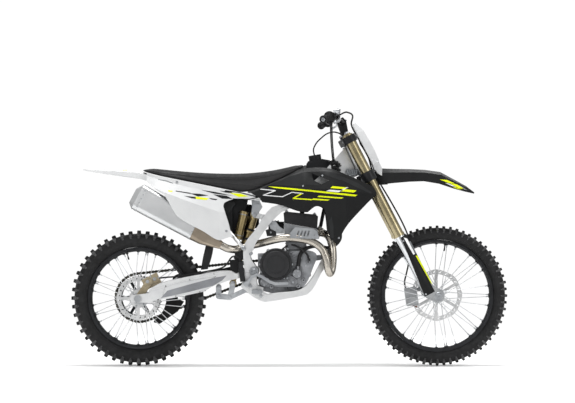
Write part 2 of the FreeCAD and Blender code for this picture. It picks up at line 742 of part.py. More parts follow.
def chain_loop(inset):
    """The chain's side view as a closed wire, drawn in by inset from the rollers' line."""
    big = pitch_radius(REAR_TEETH) - inset
    small = pitch_radius(FRONT_TEETH) - inset
    rear = V(0, 0, REAR_RADIUS)
    front = V(FRONT_SPROCKET_X, 0, FRONT_SPROCKET_Z)
    line = front.sub(rear)
    slope = math.atan2(line.z, line.x)
    taper = math.asin((big - small) / line.Length)

    def rim_point(centre, radius, angle):
        return V(centre.x + radius * math.cos(angle), 0, centre.z + radius * math.sin(angle))

    top = slope + math.pi / 2 - taper
    bottom = slope - math.pi / 2 + taper
    rear_top = rim_point(rear, big, top)
    rear_bottom = rim_point(rear, big, bottom)
    front_top = rim_point(front, small, top)
    front_bottom = rim_point(front, small, bottom)
    return Part.Wire([
        Part.LineSegment(rear_top, front_top).toShape(),
        Part.Arc(front_top, rim_point(front, small, slope), front_bottom).toShape(),
        Part.LineSegment(front_bottom, rear_bottom).toShape(),
        Part.Arc(rear_bottom, rim_point(rear, big, slope + math.pi), rear_top).toShape(),
    ])


def chain():
    """The drive chain as one fixed loop: wide and narrow links take turns round it."""
    line = chain_loop(0)
    links = 2 * round(line.Length / CHAIN_PITCH / 2)
    points = line.discretize(links + 1)[:-1]
    joints = []
    for number, point in enumerate(points):
        along = points[(number + 1) % links].sub(points[number - 1])
        outward = V(-along.z, 0, along.x)
        outward.Length = CHAIN_HALF_HEIGHT
        joints.append((point.add(outward), point.sub(outward)))
    faces = []

    def face(corners):
        faces.append(Part.Face(Part.makePolygon(corners + corners[:1])))

    def at(point, y):
        return V(point.x, CHAIN_Y + y, point.z)

    for number in range(links):
        here = joints[number]
        after = joints[(number + 1) % links]
        wide = number % 2 == 0
        reach = CHAIN_HALF_WIDTH if wide else LINK_HALF_WIDTH
        inset = [LINK_HALF_WIDTH, -LINK_HALF_WIDTH] if wide else []
        for a, b in zip(here, after):
            start = [at(a, y) for y in [reach] + inset + [-reach]]
            finish = [at(b, y) for y in [-reach] + inset[::-1] + [reach]]
            face(start + finish)
        for y in (reach, -reach):
            face([at(here[0], y), at(after[0], y), at(after[1], y), at(here[1], y)])
        for low, high in both_ways(LINK_HALF_WIDTH, CHAIN_HALF_WIDTH):
            face([at(here[0], low), at(here[0], high), at(here[1], high), at(here[1], low)])
    shell = Part.makeShell(faces)
    shell.sewShape()
    return Part.makeSolid(shell)


LINK_HALF_WIDTH = 6.0


def toothed(x, z, teeth, tip, low, high):
    """A toothed plate, its teeth pointed towards the chain."""
    corners = []
    step = 2 * math.pi / teeth
    for number in range(teeth):
        for share, reach in zip(TOOTH_shares, (tip - TOOTH_DEPTH, tip, tip, tip - TOOTH_DEPTH)):
            angle = step * (number + share)
            corners.append((x + reach * math.sin(angle), z + reach * math.cos(angle)))
    return block(corners, low, high)


TOOTH_GAP = 1.4
TOOTH_DEPTH = 6.5
TOOTH_shares = [0.18, 0.40, 0.60, 0.82]


def rear_sprocket():
    """The rear sprocket: a ring on arms, bolted to the hub."""
    tip = pitch_radius(REAR_TEETH) - CHAIN_HALF_HEIGHT - TOOTH_GAP
    low = CHAIN_Y - SPROCKET_THICKNESS / 2
    high = CHAIN_Y + SPROCKET_THICKNESS / 2
    ring = toothed(0, REAR_RADIUS, REAR_TEETH, tip, low, high)
    ring = ring.cut(disc(0, REAR_RADIUS, tip - DISC_BAND, low - OVERRUN, high + OVERRUN))
    pieces = [ring, disc(0, REAR_RADIUS, REAR_FLANGE_RADIUS, low, high)]
    for number in range(SPROCKET_ARMS):
        angle = 2 * math.pi * (number + 0.5) / SPROCKET_ARMS
        reach = tip - DISC_BAND / 2
        end = (reach * math.sin(angle), REAR_RADIUS + reach * math.cos(angle))
        pieces.append(strap([(0, REAR_RADIUS), end], DISC_ARM_WIDTH, low, high))
    whole = joined(pieces)
    return whole.cut(disc(0, REAR_RADIUS, REAR_HUB_RADIUS, low - OVERRUN, high + OVERRUN))


SPROCKET_ARMS = 6


def front_sprocket():
    """The front sprocket, inside the chain's front turn."""
    tip = pitch_radius(FRONT_TEETH) - CHAIN_HALF_HEIGHT - FRONT_TOOTH_GAP
    low = CHAIN_Y - SPROCKET_THICKNESS / 2
    high = CHAIN_Y + SPROCKET_THICKNESS / 2
    wheel = toothed(FRONT_SPROCKET_X, FRONT_SPROCKET_Z, FRONT_TEETH, tip, low, high)
    boss = disc(
        FRONT_SPROCKET_X, FRONT_SPROCKET_Z, SPROCKET_NUT_RADIUS,
        CHAIN_Y - CHAIN_HALF_WIDTH - CHAIN_ROOM + GAP, high + SPROCKET_NUT_HEIGHT,
    )
    return joined([wheel, boss])


FRONT_TOOTH_GAP = 0.85


SPROCKET_NUT_RADIUS = 13.0
SPROCKET_NUT_HEIGHT = 5.0


# Frame

def head_tube():
    """The steering head, with a bore for the stem."""
    base = V(STEM_AHEAD, 0, HEAD_TUBE_LOW)
    tube = Part.makeCylinder(HEAD_TUBE_RADIUS, HEAD_TUBE_HIGH - HEAD_TUBE_LOW, base, UP)
    return stood(tube)


def stem_bore():
    """The room that the stem needs in the steering head."""
    base = V(STEM_AHEAD, 0, HEAD_TUBE_LOW - OVERRUN)
    return stood(Part.makeCylinder(STEM_RADIUS + GAP, HEAD_TUBE_HIGH - HEAD_TUBE_LOW + 2 * OVERRUN, base, UP))


STEM_RADIUS = 15.0
PEG_X = 593.0
PEG_Z = 374.0


def frame_side():
    """One cast spar with its pivot post, and the lower rail that runs forward under the engine."""
    spar = slab(
        [placed(s, FRAME_BACK_X, FRAME_LOW_Z, FRAME_LENGTH, FRAME_HEIGHT) for s in SPAR_OUTLINE_shares],
        0, POST_Y * 2,
    )
    spar_plan = plan_strip(
        [(FRAME_BACK_X + FRAME_LENGTH * a, POST_Y * b) for a, b in SPAR_PLAN_shares],
        SPAR_THICKNESS, FRAME_LOW_Z - OVERRUN, FRAME_LOW_Z + FRAME_HEIGHT + OVERRUN,
    )
    rail = slab(
        [placed(s, FRAME_BACK_X, FRAME_LOW_Z, FRAME_LENGTH, FRAME_HEIGHT) for s in RAIL_OUTLINE_shares],
        0, POST_Y * 2,
    )
    rail_plan = plan_strip(
        [(FRAME_BACK_X + FRAME_LENGTH * a, POST_Y * b) for a, b in RAIL_PLAN_shares],
        RAIL_THICKNESS, FRAME_LOW_Z - OVERRUN, FRAME_LOW_Z + FRAME_HEIGHT + OVERRUN,
    )
    peg_bracket = block(
        [
            (PEG_X - 40, PEG_Z + 40), (PEG_X - 40, PEG_Z - 12), (PEG_X - 15, PEG_Z - 30),
            (PEG_X + 30, PEG_Z - 30), (PEG_X + 30, PEG_Z + 20),
        ],
        POST_Y - SPAR_THICKNESS / 2, POST_Y + SPAR_THICKNESS / 2,
    )
    pocket = slab(
        [placed(s, FRAME_BACK_X, FRAME_LOW_Z, FRAME_LENGTH, FRAME_HEIGHT) for s in SPAR_POCKET_shares],
        0, POST_Y * 2,
    )
    outside = spar_plan.copy()
    outside.translate(V(0, SPAR_THICKNESS - POCKET_DEPTH, 0))
    spar = spar.common(spar_plan).cut(pocket.common(outside))
    return [spar, rail.common(rail_plan), peg_bracket]


SPAR_POCKET_shares = [
    [(0.300, 0.575), (0.514, 0.664), (0.693, 0.765), (0.800, 0.846)],
    [(0.835, 0.812)],
    [(0.746, 0.758), (0.550, 0.668), (0.370, 0.600)],
]


def clamp_room():
    """The room that the lower clamp turns in, in front of the down tube."""
    low = V(STEM_AHEAD, 0, LOWER_CLAMP_LOW - OVERRUN)
    return stood(Part.makeCylinder(CLAMP_SWING, HEAD_TUBE_LOW - low.z - GAP, low, UP))


def frame():
    """The twin-spar frame as one casting: head, spars, posts, cradle, down tube and cross members."""
    foot = V(FRAME_BACK_X + FRAME_LENGTH * 0.765, 0, FRAME_LOW_Z + FRAME_HEIGHT * 0.285)
    crotch = V(FRAME_BACK_X + FRAME_LENGTH * 0.825, 0, FRAME_LOW_Z + FRAME_HEIGHT * 0.380)
    top = fork_point(STEM_AHEAD, 0, HEAD_TUBE_LOW + DOWN_TUBE_RADIUS * 2)
    pieces = [head_tube(), rod(crotch, top, DOWN_TUBE_RADIUS), Part.makeSphere(DOWN_TUBE_RADIUS, crotch)]
    split = POST_Y * 0.46
    for side in (1, -1):
        end = V(foot.x, side * split, foot.z)
        pieces.append(rod(crotch, end, SUBFRAME_TUBE_RADIUS * 1.3))
        pieces.append(Part.makeSphere(SUBFRAME_TUBE_RADIUS * 1.3, end))
    for shape in frame_side():
        pieces.extend(both_sides(shape))
    half = POST_Y + SPAR_THICKNESS / 2
    for x, z, radius in CROSS_MEMBERS:
        pieces.append(disc(x, z, radius, -POST_Y, POST_Y))
    pieces.append(disc(PIVOT_X, PIVOT_Z, PIVOT_RADIUS, -half, half))
    for low, high in both_ways(half - GAP, half + 6):
        pieces.append(disc(PIVOT_X, PIVOT_Z, PIVOT_RADIUS * 1.8, low, high))
    for low, high in both_ways(SHOCK_EYE_HALF + GAP, SHOCK_EYE_HALF + 10):
        pieces.append(strap([(UPPER_CROSS_X, UPPER_CROSS_Z), (SHOCK_TOP.x, SHOCK_TOP.z)], 26.0, low, high))
    for low, high in both_ways(22, 33):
        pieces.append(strap([(LOWER_CROSS_X, LOWER_CROSS_Z), (LINK_FRONT_X, LINK_FRONT_Z)], 24.0, low, high))
    whole = joined(pieces)
    holes = [stem_bore(), clamp_room(), disc(LINK_FRONT_X, LINK_FRONT_Z, LINK_PIN_RADIUS + GAP, -POST_Y, POST_Y)]
    return whole.cut(holes)


def both_ways(low, high):
    """The same stretch across the bike, left and right."""
    return [(low, high), (-high, -low)]


CROSS_MEMBERS = [
    (UPPER_CROSS_X, UPPER_CROSS_Z, 15.0),
    (LOWER_CROSS_X, LOWER_CROSS_Z, 12.0),
]
SUBFRAME_TOP_Y = 62.0
SUBFRAME_JOIN_Y = 78.0
SUBFRAME_JOIN_share = 0.3357143
SUBFRAME_JOIN_Z = 820.0
RAIL_TAIL_AHEAD = 82.0
RAIL_TAIL_Z = 916.2
SEAT_LOW_share = 0.606
SEAT_LOW_RISE_share = 0.020
BRACE_RADIUS = 9.0
RAIL_TIE_share = 0.9
POST_CURVE = 2.4
RAIL_BEND_X = SEAT_BACK_X + SEAT_LENGTH * SEAT_LOW_share
RAIL_BEND_Z = SEAT_LOW_Z + SEAT_HEIGHT * SEAT_LOW_RISE_share - SUBFRAME_TUBE_RADIUS * 1.02 - GAP
SUBFRAME_JOIN_X = FRAME_BACK_X + FRAME_LENGTH * SUBFRAME_JOIN_share
RAIL_TAIL_X = SEAT_BACK_X + RAIL_TAIL_AHEAD


def seat_rail(x):
    """The height and the half width of the seat rails' centre line at a place along the bike."""
    if x < RAIL_BEND_X:
        share = (x - RAIL_TAIL_X) / (RAIL_BEND_X - RAIL_TAIL_X)
        return RAIL_TAIL_Z + (RAIL_BEND_Z - RAIL_TAIL_Z) * share, SUBFRAME_TOP_Y
    share = (x - RAIL_BEND_X) / (SUBFRAME_JOIN_X - RAIL_BEND_X)
    return (
        RAIL_BEND_Z + (SUBFRAME_JOIN_Z - RAIL_BEND_Z) * share,
        SUBFRAME_TOP_Y + (SUBFRAME_JOIN_Y - SUBFRAME_TOP_Y) * share,
    )


def subframe():
    """The bolted seat rails and their braces."""
    pieces = []
    foot_y = POST_Y + SPAR_THICKNESS / 2 + POST_CURVE + GAP + BRACE_RADIUS
    for side in (1, -1):
        front = V(SUBFRAME_JOIN_X, side * SUBFRAME_JOIN_Y, SUBFRAME_JOIN_Z)
        middle = V(RAIL_BEND_X, side * SUBFRAME_TOP_Y, RAIL_BEND_Z)
        tail = V(RAIL_TAIL_X, side * SUBFRAME_TOP_Y, RAIL_TAIL_Z)
        foot = V(528, side * foot_y, 588)
        knee = V(503, side * foot_y, 614)
        bend = V(400, side * SUBFRAME_TOP_Y, 736)
        for start, end in ((front, middle), (middle, tail)):
            pieces.append(rod(start, end, SUBFRAME_TUBE_RADIUS))
        for start, end in ((foot, knee), (knee, bend), (bend, tail)):
            pieces.append(rod(start, end, BRACE_RADIUS))
        for corner in (middle, tail, front):
            pieces.append(Part.makeSphere(SUBFRAME_TUBE_RADIUS, corner))
        for corner in (bend, knee, foot):
            pieces.append(Part.makeSphere(BRACE_RADIUS, corner))
    for x, z in ((RAIL_TAIL_X, RAIL_TAIL_Z), (RAIL_BEND_X, RAIL_BEND_Z)):
        pieces.append(disc(x, z, BRACE_RADIUS * RAIL_TIE_share, -SUBFRAME_TOP_Y, SUBFRAME_TOP_Y))
    hanger_face = SILENCER_Y + SILENCER_WIDTH / 2 * (1 - (1 - SILENCER_FRONT_share) * 0.72) + GAP
    pieces.append(block([(232, 830), (232, 760), (252, 745), (268, 760), (268, 812)], hanger_face, -SUBFRAME_TOP_Y))
    return joined(pieces)


def swingarm():
    """Two tapered arms, the bridge in front of the tyre, and the blocks that carry the axle."""
    side = slab(
        [placed(s, ARM_BACK_X, ARM_LOW_Z, ARM_LENGTH, ARM_HEIGHT) for s in ARM_OUTLINE_shares],
        0, HALF_WIDTH_OF_ALL,
    )
    half_pivot = ARM_PIVOT_THICKNESS / 2
    half_axle = ARM_AXLE_THICKNESS / 2
    plan = [
        V(-AXLE_BLOCK_LENGTH, ARM_AXLE_Y - half_axle, 0),
        V(ARM_BACK_X + ARM_LENGTH * 0.30, ARM_AXLE_Y - half_axle, 0),
        V(PIVOT_X, ARM_PIVOT_Y - half_pivot, 0),
        V(PIVOT_X * 1.2, ARM_PIVOT_Y - half_pivot, 0),
        V(PIVOT_X * 1.2, ARM_PIVOT_Y + half_pivot, 0),
        V(PIVOT_X, ARM_PIVOT_Y + half_pivot, 0),
        V(ARM_BACK_X + ARM_LENGTH * 0.30, ARM_AXLE_Y + half_axle, 0),
        V(-AXLE_BLOCK_LENGTH, ARM_AXLE_Y + half_axle, 0),
    ]
    wall = Part.Face(Part.makePolygon(plan + plan[:1])).extrude(V(0, 0, HALF_WIDTH_OF_ALL * 2))
    pocket = slab(
        [placed(s, ARM_BACK_X, ARM_LOW_Z, ARM_LENGTH, ARM_HEIGHT) for s in ARM_POCKET_shares],
        0, HALF_WIDTH_OF_ALL,
    )
    outside = wall.copy()
    outside.translate(V(0, ARM_AXLE_THICKNESS - POCKET_DEPTH, 0))
    arm = side.common(wall).cut(pocket.common(outside))
    slot_end = ARM_BACK_X + OVERRUN
    axle_block = block(
        [
            (slot_end, REAR_RADIUS + AXLE_BLOCK_HEIGHT / 2), (slot_end, REAR_RADIUS - AXLE_BLOCK_HEIGHT / 3),
            (-30, REAR_RADIUS - AXLE_BLOCK_HEIGHT / 3.6), (-40, REAR_RADIUS), (-30, REAR_RADIUS + AXLE_BLOCK_HEIGHT / 3.6),
        ],
        ARM_AXLE_Y - half_axle, ARM_AXLE_Y + half_axle,
    )
    boss = disc(PIVOT_X, PIVOT_Z, ARM_BOSS_RADIUS, ARM_PIVOT_Y - half_pivot, ARM_PIVOT_Y + half_pivot)
    bridge = block(
        [
            (ARM_BRIDGE_X, ARM_LOW_Z + ARM_HEIGHT * 0.64), (ARM_BRIDGE_X + ARM_BRIDGE_LENGTH, ARM_LOW_Z + ARM_HEIGHT * 0.74),
            (ARM_BRIDGE_X + ARM_BRIDGE_LENGTH, ARM_LOW_Z + ARM_HEIGHT * 0.96), (ARM_BRIDGE_X, ARM_LOW_Z + ARM_HEIGHT * 0.96),
        ],
        -ARM_AXLE_Y + half_axle, ARM_AXLE_Y - half_axle,
    )
    whole = joined(both_sides(joined([arm, axle_block, boss])) + [bridge])
    holes = [
        disc(PIVOT_X, PIVOT_Z, PIVOT_RADIUS + GAP, -HALF_WIDTH_OF_ALL, HALF_WIDTH_OF_ALL),
        disc(0, REAR_RADIUS, REAR_AXLE_RADIUS + GAP, -HALF_WIDTH_OF_ALL, HALF_WIDTH_OF_ALL),
        shock_room(),
    ]
    return whole.cut(holes)


ARM_POCKET_shares = [
    [(0.130, 0.200), (0.300, 0.290), (0.430, 0.390)],
    [(0.560, 0.560)],
    [(0.640, 0.810)],
    [(0.480, 0.730), (0.305, 0.620), (0.150, 0.470)],
]
POCKET_DEPTH = 3.0

SHOCK_TOP_BACK = 45.0
SHOCK_TOP_RISE = 14.0
SHOCK_TOP = V(UPPER_CROSS_X - SHOCK_TOP_BACK, 0, UPPER_CROSS_Z + SHOCK_TOP_RISE)
SHOCK_FOOT = V(470.0, 0, 412.0)
SHOCK_EYE_HALF = 18.0
SHOCK_BODY_RADIUS = 22.0
SPRING_RADIUS = 36.0
SPRING_WIRE = 6.0
SPRING_TURNS = 8


def shock_room():
    """The hole that the spring passes through in the swingarm's bridge."""
    return rod(SHOCK_FOOT.sub(SHOCK_TOP).multiply(0.2).add(SHOCK_FOOT), SHOCK_TOP, SPRING_RADIUS + 3)


def along_shock(share):
    """A point on the shock absorber's axis."""
    return SHOCK_TOP.add(SHOCK_FOOT.sub(SHOCK_TOP).multiply(share))


def shock_absorber():
    """The damper: its body, shaft, eyes, spring seats and the reservoir beside it."""
    pieces = [
        rod(along_shock(0.04), along_shock(0.50), SHOCK_BODY_RADIUS),
        rod(along_shock(0.45), along_shock(0.96), SHOCK_BODY_RADIUS * 0.5),
        rod(along_shock(0.235), along_shock(0.26), SPRING_RADIUS),
        rod(along_shock(0.84), along_shock(0.87), SPRING_RADIUS),
        disc(SHOCK_TOP.x, SHOCK_TOP.z, 20.0, -SHOCK_EYE_HALF, SHOCK_EYE_HALF),
        disc(SHOCK_FOOT.x, SHOCK_FOOT.z, 18.0, -16.0, 16.0),
        rod(RESERVOIR_TOP, RESERVOIR_FOOT, RESERVOIR_RADIUS),
        rod(along_shock(0.10), RESERVOIR_TOP.add(RESERVOIR_FOOT.sub(RESERVOIR_TOP).multiply(0.12)), 12.0),
    ]
    return joined(pieces)


RESERVOIR_RADIUS = 22.0
RESERVOIR_TOP = SHOCK_TOP.add(V(-50.0, -50.0, 16.0))
RESERVOIR_FOOT = SHOCK_TOP.add(V(-81.0, -50.0, -120.0))


def shock_spring():
    """The coil spring as a stack of turns."""
    profile = []
    start = 0.26
    end = 0.84
    axis = SHOCK_FOOT.sub(SHOCK_TOP)
    length = axis.Length * (end - start) - 2 * GAP
    step = length / SPRING_TURNS
    for number in range(SPRING_TURNS):
        low = number * step
        profile.append((SPRING_RADIUS - SPRING_WIRE, low))
        profile.append((SPRING_RADIUS, low + step * 0.25))
        profile.append((SPRING_RADIUS, low + step * 0.55))
        profile.append((SPRING_RADIUS - SPRING_WIRE, low + step * 0.80))
    inner = SPRING_RADIUS - 2 * SPRING_WIRE
    points = [V(inner, 0, 0)] + [V(r, 0, h) for r, h in profile]
    points += [V(SPRING_RADIUS - SPRING_WIRE, 0, length), V(inner, 0, length)]
    solid = Part.Face(Part.makePolygon(points + points[:1])).revolve(V(0, 0, 0), UP, 360)
    base = along_shock(start)
    lift = V(axis)
    lift.Length = GAP
    solid.Placement = FreeCAD.Placement(base.add(lift), FreeCAD.Rotation(UP, axis))
    return solid


LINK_REAR_X = 398.6
LINK_PIVOT_X = 456.0
LINK_FRONT_X = 536.0
LINK_FRONT_Z = 379.0
LINK_PIN_RADIUS = 7.0


def shock_linkage():
    """The rocker under the swingarm and the pull rod that ties it to the frame."""
    pieces = []
    for side in (1, -1):
        low, high = sorted((side * 24.0, side * 34.0))
        rocker = [(LINK_REAR_X, 394), (LINK_REAR_X, 347), (LINK_PIVOT_X, 342), (SHOCK_FOOT.x, SHOCK_FOOT.z)]
        pieces.append(strap(rocker, 26.0, low, high))
        pieces.append(strap([(LINK_PIVOT_X, 342), (LINK_FRONT_X, LINK_FRONT_Z)], 22.0, low + side * 10, high + side * 10))
    for x, z in ((LINK_REAR_X, 394), (LINK_REAR_X, 347), (LINK_PIVOT_X, 342), (LINK_FRONT_X, LINK_FRONT_Z)):
        pieces.append(disc(x, z, LINK_PIN_RADIUS, -46.0, 46.0))
    return joined(pieces)


def rear_axle():
    """The rear axle with its nut and head, and the chain adjusters' end caps."""
    half = ARM_AXLE_Y + ARM_AXLE_THICKNESS / 2 + GAP
    shaft = disc(0, REAR_RADIUS, REAR_AXLE_RADIUS, -half, half)
    hexagon = [(18.0 * math.cos(math.radians(a)), REAR_RADIUS + 18.0 * math.sin(math.radians(a))) for a in range(0, 360, 60)]
    nut = block(hexagon, -half - 16.0, -half)
    head = block(hexagon, half, half + 12.0)
    return joined([shaft, nut, head])


# Engine

def case_points(shares):
    return placed(shares, CASE_BACK_X, CASE_LOW_Z, CASE_LENGTH, CASE_HEIGHT)


def crankcase():
    """The crankcase halves: a narrower sump between the rails, and room for the pivot and the chain."""
    outline = [case_points(s) for s in CASE_OUTLINE_shares]
    sump = slab(outline, -SUMP_HALF_WIDTH, SUMP_HALF_WIDTH)
    wide = slab(outline, -CRANKCASE_HALF_WIDTH, CRANKCASE_HALF_WIDTH)
    under = Part.makeBox(CASE_LENGTH * 2, CRANKCASE_HALF_WIDTH * 4, CASE_HEIGHT)
    under.translate(V(CASE_BACK_X - CASE_LENGTH / 2, -CRANKCASE_HALF_WIDTH * 2, CASE_LOW_Z + SUMP_HEIGHT - CASE_HEIGHT))
    body = joined([sump, wide.cut(under)])
    turn = pitch_radius(FRONT_TEETH) + CHAIN_HALF_HEIGHT
    chain_room = Part.makeBox(FRONT_SPROCKET_X + turn + 8 - CASE_BACK_X + OVERRUN, CRANKCASE_HALF_WIDTH, CASE_HEIGHT)
    chain_room.translate(V(
        CASE_BACK_X - OVERRUN, CHAIN_Y - CHAIN_HALF_WIDTH - CHAIN_ROOM, FRONT_SPROCKET_Z - turn - 40,
    ))
    pivot_room = disc(PIVOT_X, PIVOT_Z, ARM_BOSS_RADIUS + 4, -HALF_WIDTH_OF_ALL, HALF_WIDTH_OF_ALL)
    seam = slab(outline, -CASE_SEAM_HALF, CASE_SEAM_HALF)
    seam.scale(CASE_SEAM_SCALE, V(CASE_BACK_X + CASE_LENGTH / 2, 0, CASE_LOW_Z + CASE_HEIGHT / 2))
    barrel = block(case_points(BARREL_OUTLINE_shares), -CYLINDER_HALF_WIDTH, CYLINDER_HALF_WIDTH)
    barrel.translate(V(0, 0, -GAP))
    seam = seam.cut(barrel)
    ribs = []
    for share in CASE_RIB_shares:
        x = CASE_BACK_X + CASE_LENGTH * share
        ribs.append(Part.makeBox(
            CASE_RIB, CRANKCASE_HALF_WIDTH, CASE_HEIGHT * CASE_RIB_HEIGHT_share,
            V(x, -CRANKCASE_HALF_WIDTH - CASE_RIB, CASE_LOW_Z + SUMP_HEIGHT),
        ))
    face = -CRANKCASE_HALF_WIDTH + GAP
    pump = disc(PUMP_X, PUMP_Z, PUMP_RADIUS, face - PUMP_DEPTH, face)
    spout = rod(V(PUMP_X, face - PUMP_DEPTH / 2, PUMP_Z), PUMP_SPOUT, HOSE_RADIUS - 2)
    filter_lid = disc(FILTER_X, FILTER_Z, FILTER_RADIUS, face - FILTER_DEPTH, face)
    lug = strap([case_points([(0.93, 0.80)])[0], case_points([(1.045, 0.822)])[0]], 26.0, -30.0, 30.0)
    return joined([body, seam, pump, spout, filter_lid, lug] + ribs).cut([chain_room, pivot_room])


CASE_SEAM_HALF = 4.0
CASE_SEAM_SCALE = 1.012
CASE_RIB_shares = [0.61, 0.68, 0.75]
CASE_RIB = 3.5
CASE_RIB_HEIGHT_share = 0.42
PUMP_X = CASE_BACK_X + CASE_LENGTH * 0.6644295
PUMP_Z = 462.0
PUMP_RADIUS = 21.0
PUMP_DEPTH = 26.0
HOSE_RADIUS = 9.0
PUMP_SPOUT = V(PUMP_X + 6, -98.0, PUMP_Z + 46)
FILTER_X = CASE_BACK_X + CASE_LENGTH * 0.1140940
FILTER_Z = 420.0
FILTER_RADIUS = 20.0
FILTER_DEPTH = 12.0


def cylinder():
    """The barrel with its ribs, and the head above it."""
    low = block(case_points(BARREL_OUTLINE_shares), -CYLINDER_HALF_WIDTH, CYLINDER_HALF_WIDTH)
    high = block(case_points(HEAD_OUTLINE_shares), -CYLINDER_HALF_WIDTH, CYLINDER_HALF_WIDTH)
    ribs = []
    for level in BARREL_RIB_shares:
        outline = case_points([
            (0.466, level), (0.840, level - 0.008), (0.842, level + 0.010), (0.464, level + 0.018),
        ])
        half = CYLINDER_HALF_WIDTH + BARREL_RIB
        ribs.append(block(outline, -half, half))
    port = rod(
        V(PIPE_ROUTE[0].x - 30, PIPE_ROUTE[0].y, PIPE_ROUTE[0].z + 5), V(PIPE_ROUTE[0].x - GAP, PIPE_ROUTE[0].y, PIPE_ROUTE[0].z),
        PIPE_RADIUS + 3,
    )
    lid = block(case_points(COVER_OUTLINE_shares), -CYLINDER_HALF_WIDTH, CYLINDER_HALF_WIDTH)
    lid.translate(V(0, 0, -GAP))
    plug = disc(*case_points([(0.62, 1.42)])[0], 15.0, -CYLINDER_HALF_WIDTH - 8, CYLINDER_HALF_WIDTH + 8)
    cut_end = rod(PIPE_ROUTE[0], PIPE_ROUTE[1], PIPE_RADIUS * 3)
    return joined([low, high, port.cut([cut_end, lid]), plug] + ribs)


BARREL_RIB = 4.0
BARREL_RIB_shares = [1.02, 1.08, 1.14, 1.20]


def head_cover():
    """The black cover on the head, with a ridge over each camshaft."""
    half = CYLINDER_HALF_WIDTH * 0.9
    body = block(case_points(COVER_OUTLINE_shares), -half, half)
    ridges = []
    for share, level in CAM_shares:
        ridges.append(disc(*case_points([(share, level)])[0], CAM_RADIUS, -half - CAM_REACH, half + CAM_REACH))
    well = Part.makeCylinder(CAM_RADIUS * 0.6, CASE_HEIGHT, V(CASE_BACK_X + CASE_LENGTH * 0.73, 0, CASE_LOW_Z + CASE_HEIGHT * 1.75), UP)
    return joined([body] + ridges).cut(well)


CAM_shares = [(0.600, 1.755), (0.865, 1.715)]
CAM_RADIUS = 21.0
CAM_REACH = 3.0


def round_cover(x, z, radius, inner_y, outer_y, step, lobes):
    """A round engine cover: a base with a lobe for each bolt, a raised face and a groove round it."""
    side = 1 if outer_y > inner_y else -1
    shoulder = outer_y - side * step
    pieces = [disc(x, z, radius, *sorted((inner_y, shoulder)))]
    face = disc(x, z, radius * COVER_FACE_share, *sorted((shoulder - side, outer_y)))
    pieces.append(face.makeFillet(step * 0.5, [e for e in face.Edges if e.BoundBox.YMin == e.BoundBox.YMax
                                              and abs(e.BoundBox.YMin - outer_y) < GAP]))
    for number in range(lobes):
        angle = 2 * math.pi * (number + 0.5) / lobes
        spot = (x + radius * math.sin(angle) * 0.97, z + radius * math.cos(angle) * 0.97)
        pieces.append(disc(*spot, COVER_LOBE_RADIUS, *sorted((inner_y, shoulder - side * step))))
    ring = disc(x, z, radius * 0.58, *sorted((outer_y - side * 2, outer_y + side)))
    ring = ring.cut(disc(x, z, radius * 0.52, *sorted((outer_y - side * 4, outer_y + side * 2))))
    return joined(pieces).cut(ring)


COVER_FACE_share = 0.84
COVER_LOBE_RADIUS = 9.0


def clutch_cover():
    """The round clutch cover on the right."""
    return round_cover(CLUTCH_X, CLUTCH_Z, CLUTCH_RADIUS, -CRANKCASE_HALF_WIDTH - GAP, CLUTCH_FACE_Y, 11.0, 6)


def ignition_cover():
    """The round flywheel cover on the left."""
    x = CASE_BACK_X + CASE_LENGTH * 0.66
    z = CASE_LOW_Z + CASE_HEIGHT * 0.50
    return round_cover(x, z, CLUTCH_RADIUS * 0.86, CRANKCASE_HALF_WIDTH + GAP, CRANKCASE_HALF_WIDTH + 34, 9.0, 5)


def throttle_body():
    """The throttle body and its rubber boot, between the head and the airbox."""
    front = V(CASE_BACK_X + CASE_LENGTH * 0.45 - GAP, 0, CASE_LOW_Z + CASE_HEIGHT * 1.53)
    back = V(front.x - THROTTLE_LENGTH, 0, front.z)
    step = V(front.x - THROTTLE_LENGTH / 3, 0, front.z)
    boot = [rod(front, back, THROTTLE_RADIUS * 0.8), rod(step, back, THROTTLE_RADIUS * 0.92)]
    for number in range(BOOT_RINGS):
        start = V(step.x - (THROTTLE_LENGTH * 2 / 3 - BOOT_RING) * number / (BOOT_RINGS - 1), 0, step.z)
        boot.append(rod(start, V(start.x - BOOT_RING, 0, start.z), THROTTLE_RADIUS))
    return joined(boot)


BOOT_RINGS = 4
BOOT_RING = 6.0


THROTTLE_LENGTH = 78.0
THROTTLE_RADIUS = 32.0
CONE_MOUTH = V(413.3, -116, 603.2).add(V(0.886, 0, -0.4636).multiply(2 * GAP))
CONE_RUN = CONE_MOUTH.add(V(0.886, 0, -0.4636).multiply(34))
PIPE_ROUTE_shares = [
    (0.700000, -20, 666), (0.750000, -26, 660), (0.789286, -60, 640), (0.814286, -86, 590),
    (0.817857, -92, 530), (0.807143, -96, 480), (0.789286, -110, 458), (0.771429, -126, 484),
    (0.760714, -130, 530), (0.721429, -128, 588), (0.635714, -126, 622), (0.514286, -126, 638),
    (0.407143, -126, 642), (0.317857, -120, 634), (0.237500, -98, 622), (0.171429, -68, 612),
    (0.103571, -60, 604), (0.025000, -64, 596), (-0.042857, -94, 580),
]
PIPE_ROUTE = [V(FRAME_BACK_X + FRAME_LENGTH * a, y, z) for a, y, z in PIPE_ROUTE_shares] + [CONE_RUN, CONE_MOUTH]


def exhaust_header():
    """The header pipe: down and round its loop in front, then back over the clutch cover."""
    return bent_tube(PIPE_ROUTE, PIPE_RADIUS, BEND_share)


SILENCER_TOP_REAR = V(46.6, SILENCER_Y, 896.7)
SILENCER_AXIS = V(275.6, 0, -144.2)
SILENCER_LENGTH = 311.0
SILENCER_CORNER = 30.0
SILENCER_FRONT_share = 0.90
CONE_LENGTH = 150.0
CAP_LENGTH = 40.0
OUTLET_RADIUS = 21.0


